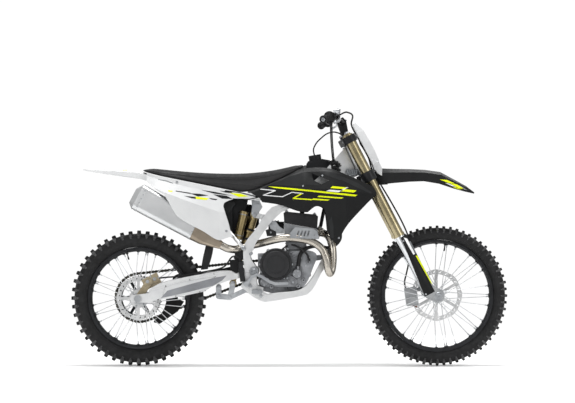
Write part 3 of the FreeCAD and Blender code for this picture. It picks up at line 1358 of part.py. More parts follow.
def silencer_ring(distance, width, height, drop=0.0):
    """A rounded rectangle across the silencer's axis, at a distance from its rear face."""
    ahead = V(SILENCER_AXIS)
    ahead.Length = 1.0
    upward = V(-ahead.z, 0, ahead.x)
    low_rear = SILENCER_TOP_REAR.sub(V(upward).multiply(SILENCER_HEIGHT))
    centre = low_rear.add(V(ahead).multiply(distance)).add(V(upward).multiply(height / 2 + drop))
    a = width / 2
    b = height / 2
    c = SILENCER_CORNER * min(width / SILENCER_WIDTH, height / SILENCER_HEIGHT)

    def spot(u, v):
        return centre.add(V(ACROSS).multiply(u)).add(V(upward).multiply(v))

    k = c * (1 - math.sqrt(0.5))
    edges = []
    for su, sv in ((1, 1), (-1, 1), (-1, -1), (1, -1)):
        first = spot(su * a, sv * (b - c))
        last = spot(su * (a - c), sv * b)
        middle = spot(su * (a - k), sv * (b - k))
        if su * sv > 0:
            edges.append((first, middle, last))
        else:
            edges.append((last, middle, first))
    wire = []
    for number, (first, middle, last) in enumerate(edges):
        wire.append(Part.Arc(first, middle, last).toShape())
        wire.append(Part.LineSegment(last, edges[(number + 1) % 4][0]).toShape())
    return Part.Wire(wire)


def silencer():
    """The silencer's body, narrower in front."""
    front_width = SILENCER_WIDTH * SILENCER_FRONT_share
    front_height = SILENCER_HEIGHT * SILENCER_FRONT_share
    body = Part.makeLoft([
        silencer_ring(0, SILENCER_WIDTH, SILENCER_HEIGHT),
        silencer_ring(SILENCER_LENGTH, front_width, front_height),
    ], True, True)
    return joined([body, silencer_cone()])


def silencer_cone():
    """The cone from the pipe to the silencer's front."""
    width = SILENCER_WIDTH * SILENCER_FRONT_share - 2 * GAP
    height = SILENCER_HEIGHT * SILENCER_FRONT_share - 2 * GAP
    return Part.makeLoft([
        silencer_ring(SILENCER_LENGTH - GAP, width, height, GAP),
        silencer_ring(SILENCER_LENGTH + CONE_LENGTH * 0.35, width * 0.78, height * 0.72, 2.0),
        silencer_ring(SILENCER_LENGTH + CONE_LENGTH, PIPE_RADIUS * 2.1, PIPE_RADIUS * 2.1, 26.0),
    ], True, True)


def silencer_cap():
    """The rear cap, with the outlet bored through it."""
    cap = Part.makeLoft([
        silencer_ring(-GAP, SILENCER_WIDTH, SILENCER_HEIGHT),
        silencer_ring(-CAP_LENGTH * 0.4, SILENCER_WIDTH, SILENCER_HEIGHT),
        silencer_ring(-CAP_LENGTH, SILENCER_WIDTH * 0.66, SILENCER_HEIGHT * 0.58, SILENCER_HEIGHT * 0.16),
    ], True, True)
    ahead = V(SILENCER_AXIS)
    ahead.Length = 1.0
    upward = V(-ahead.z, 0, ahead.x)
    low_rear = SILENCER_TOP_REAR.sub(V(upward).multiply(SILENCER_HEIGHT))
    mouth = low_rear.add(V(upward).multiply(SILENCER_HEIGHT * 0.45)).sub(V(ahead).multiply(CAP_LENGTH + OVERRUN))
    return cap.cut(Part.makeCylinder(OUTLET_RADIUS, CAP_LENGTH * 0.7 + OVERRUN, mouth, ahead))


def airbox():
    """The airbox under the seat, with a cheek on each side of the shock absorber."""
    body = block([(300, 700), (470, 640), (508, 650), (520, 720), (545, 830), (500, 840), (430, 836), (300, 858)], -50.0, 50.0)
    front = UPPER_CROSS_X - 22
    cheeks = block([(500, 655), (front, 694), (front, 780), (front - 40, 806), (500, 812)], 42.0, 80.0)
    shock = rod(along_shock(-0.2), along_shock(0.6), SPRING_RADIUS + 6)
    reservoir = rod(
        RESERVOIR_TOP.add(V(10, 0, 40)), RESERVOIR_FOOT.add(V(-6, 0, -24)), RESERVOIR_RADIUS + 4,
    )
    return joined([body] + both_sides(cheeks)).cut([shock, reservoir])


# Bodywork

def skin(sections, thickness, outline, side):
    """A curved panel: lofted through thin sections, then trimmed to its side view's outline."""
    wires = []
    for x, points in sections:
        outer = [V(x, side * y, z) for y, z in points]
        inner = [V(x, side * (y - thickness), z - thickness / 2) for y, z in reversed(points)]
        wires.append(Part.makePolygon(outer + inner + outer[:1]))
    shell = Part.makeLoft(wires, True, True)
    low, high = sorted((0, side * HALF_WIDTH_OF_ALL))
    return shell.common(slab(outline, low, high))


def shroud(side):
    """A radiator shroud: narrow at the seat, wide at its nose."""
    sections = []
    for entry in SHROUD_SECTION_shares:
        points = [(SHROUD_WIDTH_UNIT * a, SHROUD_LOW_Z + SHROUD_HEIGHT * b) for a, b in entry[1:]]
        sections.append((SHROUD_BACK_X + SHROUD_LENGTH * entry[0], points))
    outline = [placed(s, SHROUD_BACK_X, SHROUD_LOW_Z, SHROUD_LENGTH, SHROUD_HEIGHT) for s in SHROUD_OUTLINE_shares]
    panel = skin(sections, SHELL, outline, side)
    intake = block(
        placed(INTAKE_shares, SHROUD_BACK_X, SHROUD_LOW_Z, SHROUD_LENGTH, SHROUD_HEIGHT),
        *sorted((0, side * HALF_WIDTH_OF_ALL)),
    )
    panel = panel.cut(intake)
    on_spar = boss(side, FRAME_BACK_X + FRAME_LENGTH * 0.442857, 830, 95.3, 122.6)
    on_radiator = boss(side, FRAME_BACK_X + FRAME_LENGTH * 0.8, 800, 148.3, 168.8)
    return joined([panel, on_spar, on_radiator])


SHROUD_WIDTH_UNIT = 104.0
INTAKE_shares = [(0.480, 0.925), (0.625, 0.830), (0.560, 0.780), (0.495, 0.835)]


def boss(side, x, z, inner, outer):
    """A round spacer on the inner face of a body panel."""
    low, high = sorted((side * inner, side * outer))
    return disc(x, z, BOSS_RADIUS, low, high)


BOSS_RADIUS = 7.0


def side_panel(side, section_shares, front_skin, rear_skin):
    """A side number panel under the seat."""
    sections = []
    for entry in section_shares:
        points = [(SEAT_HALF_WIDTH * a, PANEL_LOW_Z + PANEL_HEIGHT * b) for a, b in entry[1:]]
        sections.append((PANEL_BACK_X + PANEL_LENGTH * entry[0], points))
    outline = [placed(s, PANEL_BACK_X, PANEL_LOW_Z, PANEL_LENGTH, PANEL_HEIGHT) for s in PANEL_OUTLINE_shares]
    panel = skin(sections, SHELL, outline, side)
    bosses = []
    for share, outer in ((PANEL_BOSS_FRONT_share, front_skin), (PANEL_BOSS_REAR_share, rear_skin)):
        x = SEAT_BACK_X + SEAT_LENGTH * share
        z, rail_y = seat_rail(x)
        bosses.append(boss(side, x, z, rail_y + SUBFRAME_TUBE_RADIUS + PANEL_BOSS_GAP, outer))
    return joined([panel] + bosses)


PANEL_BOSS_FRONT_share = 0.6343558
PANEL_BOSS_REAR_share = 0.2122699
PANEL_BOSS_GAP = 0.4


def seat():
    """The seat cushion: a plain closed solid with a crowned top."""
    wires = []
    for x, low, high, width in SEAT_SECTION_shares:
        x = SEAT_BACK_X + SEAT_LENGTH * x
        low = SEAT_LOW_Z + SEAT_HEIGHT * low
        high = SEAT_LOW_Z + SEAT_HEIGHT * high
        width = SEAT_HALF_WIDTH * width
        rise = high - low
        crown = [V(x, -width * 0.90, high - rise * 0.22), V(x, 0, high), V(x, width * 0.90, high - rise * 0.22)]
        edges = [
            Part.LineSegment(V(x, -width, low), crown[0]).toShape(),
            Part.Arc(crown[0], crown[1], crown[2]).toShape(),
            Part.LineSegment(crown[2], V(x, width, low)).toShape(),
            Part.LineSegment(V(x, width, low), V(x, -width, low)).toShape(),
        ]
        wires.append(Part.Wire(edges))
    return Part.makeLoft(wires, True, True)


def arched(sections, thickness):
    """A mudguard: an arched shell lofted through sections of (x, edge height, crown height, half width)."""
    wires = []
    for x, low, high, width in sections:
        outer = [V(x, -width, low), V(x, -width * 0.86, low + (high - low) * 0.72), V(x, 0, high)]
        outer += [V(x, width * 0.86, low + (high - low) * 0.72), V(x, width, low)]
        inner = [V(x, p.y * (1 - thickness / width), p.z - thickness) for p in reversed(outer)]
        inner[0] = V(x, inner[0].y, low)
        inner[-1] = V(x, inner[-1].y, low)
        wires.append(Part.makePolygon(outer + inner + outer[:1]))
    return Part.makeLoft(wires, True, True)


def rear_fender():
    """The white rear mudguard."""
    sections = [
        (TAIL_X + TAIL_LENGTH * a, TAIL_LOW_Z + TAIL_HEIGHT * b, TAIL_LOW_Z + TAIL_HEIGHT * c, TAIL_HALF_WIDTH * d)
        for a, b, c, d in TAIL_SECTION_shares
    ]
    return arched(sections, SHELL)


def front_fender():
    """The black front mudguard, ahead of the fork legs."""
    sections = [
        (
            FENDER_BACK_X + FENDER_LENGTH * a, FENDER_LOW_Z + FENDER_HEIGHT * b,
            FENDER_LOW_Z + FENDER_HEIGHT * c, FENDER_HALF_WIDTH * d,
        )
        for a, b, c, d in FENDER_SECTION_shares
    ]
    shell = arched(sections, SHELL)
    behind = Part.makeBox(HALF_WIDTH_OF_ALL, 2 * HALF_WIDTH_OF_ALL, 3 * HALF_WIDTH_OF_ALL)
    behind.translate(V(FENDER_SEAT - HALF_WIDTH_OF_ALL, -HALF_WIDTH_OF_ALL, 0))
    tongue = Part.makeBox(
        FENDER_TONGUE_FRONT - LEG_AHEAD, FENDER_TONGUE_WIDTH, 6.0,
        V(LEG_AHEAD, -FENDER_TONGUE_WIDTH / 2, LOWER_CLAMP_LOW - GAP - 6.0),
    )
    return joined([shell.cut(stood(behind)), stood(tongue)])


FENDER_TONGUE_FRONT = 64.0
FENDER_TONGUE_WIDTH = 80.0


FENDER_SEAT = 0.5


def number_plate():
    """The blank front number plate, curved round the fork."""
    wires = []
    for a, back, front, width in PLATE_SECTION_shares:
        along = PLATE_LOW + PLATE_HEIGHT * a
        half = PLATE_HALF_WIDTH * width
        rear = PLATE_HALF_WIDTH * back
        nose = PLATE_HALF_WIDTH * front
        outer = [V(rear, -half, along), V(nose, -half * 0.55, along), V(nose * 1.03, half * 0.0, along)]
        outer += [V(nose, half * 0.55, along), V(rear, half, along)]
        inner = [V(p.x - SHELL, p.y, p.z) for p in reversed(outer)]
        wires.append(Part.makePolygon(outer + inner + outer[:1]))
    shell = Part.makeLoft(wires, True, True)
    nose = PLATE_HALF_WIDTH * 0.50
    front = LEG_AHEAD + UPPER_CLAMP_REACH
    middle = (UPPER_CLAMP_LOW + UPPER_CLAMP_HIGH) / 2
    half = 12.0
    seat_x = front - CLAMP_DIP * (1 - half / LEG_SPREAD) + GAP
    stay = block(
        [(seat_x, middle - 8), (nose - SHELL / 2, middle - 8), (nose - SHELL / 2, middle + 8), (seat_x, middle + 8)],
        -half, half,
    )
    return stood(joined([shell, stay]))


TANK_PLAN_shares = [(0.3178571, 74), (0.5142857, 62), (0.6214286, 52), (0.6928571, 42), (0.8035714, 28)]
TANK_OUTLINE_shares = [
    (0.3357143, 0.7051282), (0.4428571, 0.7153846), (0.6571429, 0.7730769), (0.7821429, 0.8153846),
    (0.8035714, 0.8743590), (0.7928571, 0.9038462), (0.7214286, 0.9128205), (0.5964286, 0.8974359),
    (0.5821429, 0.8820513), (0.5785714, 0.8564103), (0.4428571, 0.7923077),
]


def fuel_tank():
    """The tank between the spars, with its filler neck and cap in front of the seat."""
    side = block(
        placed(TANK_OUTLINE_shares, FRAME_BACK_X, FRAME_LOW_Z, FRAME_LENGTH, FRAME_HEIGHT),
        -HALF_WIDTH_OF_ALL, HALF_WIDTH_OF_ALL,
    )
    plan_points = [(FRAME_BACK_X + FRAME_LENGTH * a, y) for a, y in TANK_PLAN_shares]
    corners = [V(x, y, SEAT_LOW_Z - OVERRUN) for x, y in plan_points]
    corners += [V(x, -y, SEAT_LOW_Z - OVERRUN) for x, y in reversed(plan_points)]
    plan = Part.Face(Part.makePolygon(corners + corners[:1])).extrude(V(0, 0, HALF_WIDTH_OF_ALL))
    base = V(FRAME_BACK_X + FRAME_LENGTH * 0.6642857, 0, 1020)
    cap = Part.makeCylinder(31.0, 34.0, base, V(-0.17, 0, 1))
    return joined([side.common(plan), cap])


def radiator(side):
    """One radiator: a finned core between two end tanks, and the tab that hangs it under the spar."""
    core = Part.makeBox(CORE_DEPTH, CORE_WIDTH, CORE_HEIGHT, V(-CORE_DEPTH / 2, 0, 0))
    tanks = []
    for low in (-TANK_LIP, CORE_HEIGHT - END_TANK_HEIGHT + TANK_LIP):
        tanks.append(Part.makeBox(
            CORE_DEPTH + 2 * TANK_LIP, CORE_WIDTH, END_TANK_HEIGHT, V(-CORE_DEPTH / 2 - TANK_LIP, 0, low),
        ))
    slots = []
    step = (CORE_HEIGHT - 2 * END_TANK_HEIGHT) / FIN_ROWS
    for number in range(FIN_ROWS):
        slots.append(Part.makeBox(
            FIN_DEPTH + OVERRUN, CORE_WIDTH - 2 * FIN_MARGIN, step * FIN_OPEN_share,
            V(CORE_DEPTH / 2 - FIN_DEPTH, FIN_MARGIN, END_TANK_HEIGHT + step * (number + 0.25)),
        ))
    whole = joined([core] + tanks).cut(slots)
    lean = FreeCAD.Rotation(ACROSS, -RADIATOR_LEAN)
    whole.Placement = FreeCAD.Placement(V(RADIATOR_X, RADIATOR_Y, RADIATOR_LOW_Z), lean)
    tab = Part.makeBox(16.0, 20.0, 46.0, V(FRAME_BACK_X + FRAME_LENGTH * 0.8035714, 46.0, 866))
    whole = joined([whole, tab])
    return whole if side > 0 else mirrored(whole)


CORE_DEPTH = 32.0
CORE_WIDTH = 86.0
CORE_HEIGHT = 236.0
END_TANK_HEIGHT = 26.0
TANK_LIP = 3.0
FIN_ROWS = 14
FIN_DEPTH = 7.0
FIN_MARGIN = 6.0
FIN_OPEN_share = 0.5
RADIATOR_LEAN = 10.0
RADIATOR_X = FRAME_BACK_X + FRAME_LENGTH * 0.8678571
RADIATOR_Y = 62.0
RADIATOR_LOW_Z = 664.0


def radiators():
    """The left and right radiators."""
    return Part.makeCompound([radiator(1), radiator(-1)])


# Fork and steering

def leg(low, high, radius, side):
    """A round tube along one fork leg."""
    return Part.makeCylinder(radius, high - low, V(LEG_AHEAD, side * LEG_SPREAD, low), UP)


def fork_outer_tubes():
    """The gold outer tubes."""
    legs = []
    for side in (1, -1):
        lower = leg(OUTER_TUBE_LOW, LOWER_CLAMP_LOW - 12, OUTER_TUBE_RADIUS, side)
        upper = leg(LOWER_CLAMP_LOW - 13, OUTER_TUBE_HIGH, OUTER_TUBE_TOP_RADIUS, side)
        bore = leg(OUTER_TUBE_LOW - OVERRUN, OUTER_TUBE_LOW + 2 * OVERRUN, INNER_TUBE_RADIUS + GAP, side)
        collar = leg(OUTER_TUBE_LOW, OUTER_TUBE_LOW + WIPER_HEIGHT, OUTER_TUBE_RADIUS + WIPER_LIP, side)
        cap = leg(OUTER_TUBE_HIGH - GAP, OUTER_TUBE_HIGH + FORK_CAP_HEIGHT, FORK_CAP_RADIUS, side)
        legs.append(stood(joined([lower, upper, collar, cap]).cut(bore)))
    return Part.makeCompound(legs)


WIPER_HEIGHT = 14.0
WIPER_LIP = 2.5
FORK_CAP_HEIGHT = 7.0
FORK_CAP_RADIUS = 19.0


def fork_leg(side):
    """One chromed inner tube with the lug that holds the axle."""
    tube = leg(INNER_TUBE_LOW, OUTER_TUBE_LOW + 2 * OVERRUN - GAP, INNER_TUBE_RADIUS, side)
    low = side * LEG_SPREAD - LUG_WIDTH / 2
    lug = disc(0, 0, 26.0, low, low + LUG_WIDTH)
    neck = block([(-63, 92), (-58, 20), (-22, -20), (18, -18), (24, 10), (-11, 92)], low, low + LUG_WIDTH)
    bore = disc(0, 0, FRONT_AXLE_RADIUS + GAP, -HALF_WIDTH_OF_ALL, HALF_WIDTH_OF_ALL)
    return stood(joined([tube, lug, neck]).cut(bore))


def fork_inner_tubes():
    """The chromed inner tubes with their lugs."""
    return Part.makeCompound([fork_leg(1), fork_leg(-1)])


def clamp(low, high, ahead_reach):
    """One triple clamp: a ring round each leg and the bridge between them."""
    pieces = []
    for side in (1, -1):
        pieces.append(leg(low, high, OUTER_TUBE_TOP_RADIUS + CLAMP_WALL, side))
    points = [
        V(STEM_AHEAD - CLAMP_NOSE, 0, low), V(STEM_AHEAD - CLAMP_NOSE * 0.8, -CLAMP_NOSE * 0.6, low),
        V(LEG_AHEAD - 26, -LEG_SPREAD, low), V(LEG_AHEAD + ahead_reach, -LEG_SPREAD, low),
        V(LEG_AHEAD + ahead_reach - CLAMP_DIP, 0, low), V(LEG_AHEAD + ahead_reach, LEG_SPREAD, low),
        V(LEG_AHEAD - 26, LEG_SPREAD, low), V(STEM_AHEAD - CLAMP_NOSE * 0.8, CLAMP_NOSE * 0.6, low),
    ]
    pieces.append(Part.Face(Part.makePolygon(points + points[:1])).extrude(V(0, 0, high - low)))
    whole = joined(pieces)
    bores = [leg(low - OVERRUN, high + OVERRUN, OUTER_TUBE_TOP_RADIUS + GAP, side) for side in (1, -1)]
    return whole.cut(bores)


def triple_clamps():
    """Both clamps on the steering stem."""
    upper = clamp(UPPER_CLAMP_LOW, UPPER_CLAMP_HIGH, UPPER_CLAMP_REACH)
    lower = clamp(LOWER_CLAMP_LOW, LOWER_CLAMP_HIGH, LOWER_CLAMP_REACH)
    stem = Part.makeCylinder(
        STEM_RADIUS, UPPER_CLAMP_HIGH + 12 - LOWER_CLAMP_LOW, V(STEM_AHEAD, 0, LOWER_CLAMP_LOW), UP,
    )
    return joined([stood(joined([upper, lower, stem]))] + bar_mounts())


BAR_CLAMP_Y = 45.0


def bar_mounts():
    """The two posts and caps that hold the handlebar on the upper clamp."""
    mounts = []
    for side in (1, -1):
        low = side * BAR_CLAMP_Y - 15
        post = block(
            [
                (STEM_AHEAD - 2, UPPER_CLAMP_HIGH - GAP), (LEG_AHEAD + 8, UPPER_CLAMP_HIGH - GAP),
                (LEG_AHEAD + BAR_LEAD, BAR_HEIGHT), (LEG_AHEAD + BAR_LEAD - 6, BAR_HEIGHT + 24),
                (LEG_AHEAD + BAR_LEAD - 40, BAR_HEIGHT + 24), (LEG_AHEAD + BAR_LEAD - 46, BAR_HEIGHT),
            ],
            low, low + 30,
        )
        bore = disc(BAR_AHEAD, BAR_HEIGHT, BAR_RADIUS + GAP, -HALF_WIDTH_OF_ALL, HALF_WIDTH_OF_ALL)
        mounts.append(stood(post.cut(bore)))
    return mounts


BAR_AHEAD = STEM_AHEAD + BAR_LEAD
BAR_MIDDLE = fork_point(BAR_AHEAD, 0, BAR_HEIGHT)
BAR_SWEEP = 100.0
BAR_BEND_SWEEP = 48.0
BAR_END = V(BAR_MIDDLE.x - BAR_SWEEP, BAR_REACH, 1216.0)
BAR_BEND_share = 0.15
PERCH_ROOM = 65.0
BAR_BEND = V(BAR_MIDDLE.x - BAR_BEND_SWEEP, BAR_REACH - GRIP_LENGTH - PERCH_ROOM, 1243.0)
BAR_KNEE_share = 0.4587156
GRIP_END_SETBACK = 2.0


def bar_route():
    """The handlebar's centre line from end to end."""
    middle = BAR_MIDDLE
    half = [
        V(BAR_END.x, BAR_END.y, BAR_END.z),
        V(BAR_BEND.x, BAR_BEND.y, BAR_BEND.z),
        V(middle.x, BAR_BEND.y * BAR_KNEE_share, middle.z),
    ]
    return half + [V(p.x, -p.y, p.z) for p in reversed(half)]


def handlebar():
    """The handlebar: clamped in the middle, rising and sweeping back to the grips."""
    tube = bent_tube(bar_route(), BAR_END_RADIUS, BAR_BEND_share)
    middle = BAR_MIDDLE
    thick = disc(middle.x, middle.z, BAR_RADIUS, -BAR_CLAMP_Y * 1.5, BAR_CLAMP_Y * 1.5)
    return joined([tube, thick])


def grips():
    """The grips at the bar's ends."""
    pieces = []
    for side in (1, -1):
        end = V(BAR_END.x, side * BAR_END.y, BAR_END.z)
        inner = bar_route()[1]
        inner = V(inner.x, side * inner.y, inner.z)
        line = inner.sub(end)
        line.Length = GRIP_LENGTH
        back = V(line)
        back.Length = GRIP_END_SETBACK
        sleeve = rod(end.sub(back), end.add(line), GRIP_RADIUS)
        flange = V(line)
        flange.Length = GRIP_LENGTH - 4
        collar = rod(end.add(flange), end.add(line), GRIP_RADIUS * 1.7)
        bore = rod(end, end.add(line).add(back), BAR_END_RADIUS + GAP)
        pieces.append(joined([sleeve, collar]).cut(bore))
    return Part.makeCompound(pieces)


def control_levers():
    """The brake and clutch levers with their perches and the brake's master cylinder."""
    pieces = []
    for side in (1, -1):
        end = V(BAR_END.x, side * BAR_END.y, BAR_END.z)
        inner = bar_route()[1]
        inner = V(inner.x, side * inner.y, inner.z)
        line = inner.sub(end)
        start = V(line)
        start.Length = GRIP_LENGTH + 8
        stop = V(line)
        stop.Length = GRIP_LENGTH + 38
        perch = rod(end.add(start), end.add(stop), 19.0).cut(rod(end, end.add(line), BAR_END_RADIUS + GAP))
        root = end.add(stop).add(V(34, 0, -8))
        tip = end.add(V(58, side * -6, -14))
        knee = root.add(tip).multiply(0.5).add(V(10, 0, -4))
        arm = joined([rod(root, knee, 6.0), Part.makeSphere(6.0, knee), rod(knee, tip, 5.5), Part.makeSphere(8.0, tip)])
        link = rod(end.add(stop).add(V(0, side * 12, 0)), root, 8.0)
        link = link.cut(rod(end, end.add(line), BAR_END_RADIUS + GAP))
        body = joined([perch, link, arm])
        pieces.append(body)
    return Part.makeCompound(pieces)


def fork_guards():
    """The plastic guards in front of the inner tubes."""
    pieces = []
    for side in (1, -1):
        low = 30.0
        high = 345.0
        outer = leg(low, high, OUTER_TUBE_RADIUS + 10, side)
        inner = leg(low - OVERRUN, high + OVERRUN, OUTER_TUBE_RADIUS + 6, side)
        low_y, high_y = sorted((side * LEG_SPREAD, side * (LEG_SPREAD + 60)))
        window = block([(-62, low), (14, low), (14, high + 30), (-30, high + 30), (-52, low + 110)], low_y, high_y)
        pieces.append(stood(outer.cut(inner).common(window)).cut(fork_leg(side)))
    return Part.makeCompound(pieces)


def front_axle():
    """The hollow front axle."""
    half = LEG_SPREAD + LUG_WIDTH / 2
    shaft = disc(WHEELBASE, FRONT_RADIUS, FRONT_AXLE_RADIUS, -half, half)
    return shaft.cut(disc(WHEELBASE, FRONT_RADIUS, FRONT_AXLE_BORE_RADIUS, -half - OVERRUN, half + OVERRUN))


def caliper(x, z, low_y, high_y, length, height, tilt, disc_y):
    """A brake caliper: a body that straddles the disc."""
    body = Part.makeBox(length, high_y - low_y, height, V(-length / 2, low_y, -height / 2))
    body = body.makeFillet(6.0, [e for e in body.Edges if abs(e.Vertexes[0].Y - e.Vertexes[1].Y) > 1])
    body.Placement = FreeCAD.Placement(V(x, 0, z), FreeCAD.Rotation(ACROSS, tilt))
    return body


def front_caliper():
    """The front caliper behind the left fork leg, with the bracket that ties it to the lug."""
    x, z = WHEELBASE - 126.0, 345.0
    leg_side = LEG_SPREAD - INNER_TUBE_RADIUS - GAP
    body = caliper(x, z, FRONT_DISC_Y - 26, leg_side, 62.0, 92.0, -8.0, FRONT_DISC_Y)
    slot = disc(WHEELBASE, FRONT_RADIUS, FRONT_DISC_RADIUS + 5, FRONT_DISC_Y - 6, FRONT_DISC_Y + 6)
    bracket = strap([(x, z + 20), (WHEELBASE - 56, 392)], 20.0, FRONT_DISC_Y + 10, leg_side)
    return joined([body.cut(slot), bracket])


def rear_caliper():
    """The rear caliper above the right arm, on its bracket round the axle."""
    x, z = 66.0, 424.0
    body = caliper(x, z, REAR_DISC_Y - 22, REAR_DISC_Y + 20, 84.0, 56.0, -28.0, REAR_DISC_Y)
    slot = disc(0, REAR_RADIUS, REAR_DISC_RADIUS + 5, REAR_DISC_Y - 6, REAR_DISC_Y + 6)
    arm_face = -ARM_AXLE_Y + ARM_AXLE_THICKNESS / 2
    bracket = strap([(0, REAR_RADIUS), (x * 0.8, z - 6)], 34.0, arm_face + GAP, -REAR_HUB_HALF_LENGTH - 2)
    whole = joined([body.cut(slot), bracket])
    return whole.cut(disc(0, REAR_RADIUS, REAR_AXLE_RADIUS + GAP, -HALF_WIDTH_OF_ALL, 0))


# Guards and hoses

def heat_guard():
    """The slotted guard that stands on the header pipe's outer side."""
    outline = [(FRAME_BACK_X + FRAME_LENGTH * a, z) for a, z in GUARD_OUTLINE]
    plate = block(outline, GUARD_Y - GUARD_THICKNESS, GUARD_Y)
    slots = []
    for number in range(GUARD_SLOTS):
        x = FRAME_BACK_X + FRAME_LENGTH * GUARD_SLOT_share + number * GUARD_SLOT_STEP
        slots.append(block(
            [(x, GUARD_SLOT_LOW), (x + 8, GUARD_SLOT_LOW), (x + 17, GUARD_SLOT_HIGH), (x + 9, GUARD_SLOT_HIGH)],
            GUARD_Y - OVERRUN, GUARD_Y + OVERRUN,
        ))
    feet = []
    for share, z in GUARD_FEET:
        x = FRAME_BACK_X + FRAME_LENGTH * share
        feet.append(disc(x, z, GUARD_FOOT_RADIUS, GUARD_Y - GUARD_THICKNESS / 2, GUARD_FOOT_Y))
    stretch = [p for p in PIPE_ROUTE[9:14]]
    room = bent_tube(stretch, PIPE_RADIUS + GAP, BEND_share)
    return joined([plate.cut(slots)] + feet).cut(room)


GUARD_Y = -147.0
GUARD_THICKNESS = 3.0
GUARD_OUTLINE = [
    (0.4339286, 664), (0.4785714, 693), (0.6392857, 686), (0.6750000, 672), (0.6928571, 634), (0.4339286, 639),
]
GUARD_SLOTS = 4
GUARD_SLOT_share = 0.49
GUARD_SLOT_STEP = 17.0
GUARD_SLOT_LOW = 648.0
GUARD_SLOT_HIGH = 676.0
GUARD_FEET = [(0.4642857, 646), (0.6214286, 642)]
GUARD_FOOT_RADIUS = 6.0
GUARD_FOOT_Y = -132.0


def chain_slider():
    """The strip on the left arm that the chain's upper run passes over."""
    strip = slab(
        [placed(s, ARM_BACK_X, ARM_LOW_Z, ARM_LENGTH, ARM_HEIGHT) for s in SLIDER_OUTLINE_shares],
        CHAIN_Y - SLIDER_INNER, CHAIN_Y + SLIDER_OUTER,
    )
    arm = slab(
        [placed(s, ARM_BACK_X, ARM_LOW_Z + GAP, ARM_LENGTH, ARM_HEIGHT) for s in ARM_OUTLINE_shares],
        0, HALF_WIDTH_OF_ALL,
    )
    return max(strip.cut(arm).Solids, key=lambda s: s.BoundBox.ZMax)


SLIDER_OUTLINE_shares = [
    [(0.209, 0.560)],
    [(0.209, 0.703), (0.468, 0.884), (0.766, 1.090), (0.870, 1.120)],
    [(0.870, 0.900), (0.468, 0.740)],
]
SLIDER_INNER = 14.0
SLIDER_OUTER = 26.0


def hoses():
    """The coolant hoses, the tank's breather and the rear brake's hose."""
    right = bent_tube([
        PUMP_SPOUT.add(V(0, 0, -HOSE_RADIUS)), V(PUMP_X + 16, -92, 575), V(PUMP_X + 90, -74, 604),
        V(RADIATOR_X - 40, -47, 585), V(RADIATOR_X + 8, -48, 626), V(RADIATOR_X + 8, -84, 674),
    ], HOSE_RADIUS, BEND_share)
    left = bent_tube([
        V(PIPE_ROUTE[0].x - 24, 50, 668), V(PIPE_ROUTE[0].x + 4, 54, 690), V(RADIATOR_X - 74, 56, 770),
        V(RADIATOR_X - 64, 70, 806), V(RADIATOR_X - 20, 86, 812),
    ], HOSE_RADIUS, BEND_share)
    stem_top = fork_point(STEM_AHEAD, 0, UPPER_CLAMP_HIGH + 12 + GAP)
    cap_x = FRAME_BACK_X + FRAME_LENGTH * 0.6642857 - 5.5
    breather = bent_tube([
        V(cap_x, 0, 1050), V(cap_x - 8, 0, 1082), V(cap_x + 10, 0, 1118), V(stem_top.x - 82, 0, 1160),
        V(stem_top.x - 44, 0, 1172), V(stem_top.x - 8, 0, 1161), stem_top,
    ], BREATHER_RADIUS, BEND_share)
    brake = bent_tube([
        V(509, -130.3, 508), V(506, -130, 545), V(470, -124, 552), V(432, -104, 496), V(390, -88, 482),
        V(300, -98, 466), V(200, -107, 448), V(136, -104, 444), V(96, -74, 438),
    ], BRAKE_HOSE_RADIUS, BEND_share)
    runs = [
        right.cut([radiator(-1), crankcase()]),
        left.cut([radiator(1), cylinder()]),
        breather.cut(fuel_tank()),
        brake.cut([rear_caliper(), rear_master_cylinder(), swingarm()]),
    ]
    return Part.makeCompound([max(run.Solids, key=lambda s: s.Volume) for run in runs])


BREATHER_RADIUS = 3.5
BRAKE_HOSE_RADIUS = 4.0


def front_brake_hose():
    """The front brake's hose: over the clamps, down the left leg's front and on to the caliper."""
    route = [
        V(BAR_END.x + 69, -BAR_REACH + GRIP_LENGTH + 33, 1236), V(BAR_END.x + 112, -225, 1262),
        V(BAR_END.x + 154, -130, 1252), fork_point(4, 8, 956), fork_point(14, 45, 860),
        fork_point(14, 58, 770), fork_point(1, 79, 718), fork_point(4, 90, 670), fork_point(8, 93, 600),
        fork_point(13, 95, 531),
        fork_point(17, 95, 430), fork_point(14, 86, 350), fork_point(4, 70, 290), fork_point(-50, 68, 205),
        V(WHEELBASE - 162, 69, 412), V(WHEELBASE - 150, 64, 374),
    ]
    hose = bent_tube(route, BRAKE_HOSE_RADIUS, BEND_share)
    return hose.cut([front_caliper(), control_levers()])


# Controls on the frame

PEDAL_LINE = [(540, 412), (567, 448), (592, 458), (617, 448), (656, 422), (682, 413), (740, 416)]


def brake_pedal():
    """The rear brake pedal with its step plate."""
    arm = strap(PEDAL_LINE, 14.0, CLUTCH_FACE_Y - 14, CLUTCH_FACE_Y - 4)
    step = block([(700, 411), (746, 411), (746, 421), (700, 421)], CLUTCH_FACE_Y - 34, CLUTCH_FACE_Y - 4)
    boss = disc(540, 412, 13.0, CLUTCH_FACE_Y - 14, -POST_Y - SPAR_THICKNESS / 2 - GAP)
    return joined([arm, step, boss])


def shift_lever():
    """The gear lever on the left."""
    arm = strap([(640, 406), (700, 412), (752, 430)], 12.0, 128, 137)
    toe = rod(V(752, 128, 430), V(752, 170, 430), 8.0)
    shaft = rod(V(640, CRANKCASE_HALF_WIDTH + GAP, 406), V(640, 137, 406), 8.0)
    return joined([arm, toe, shaft])


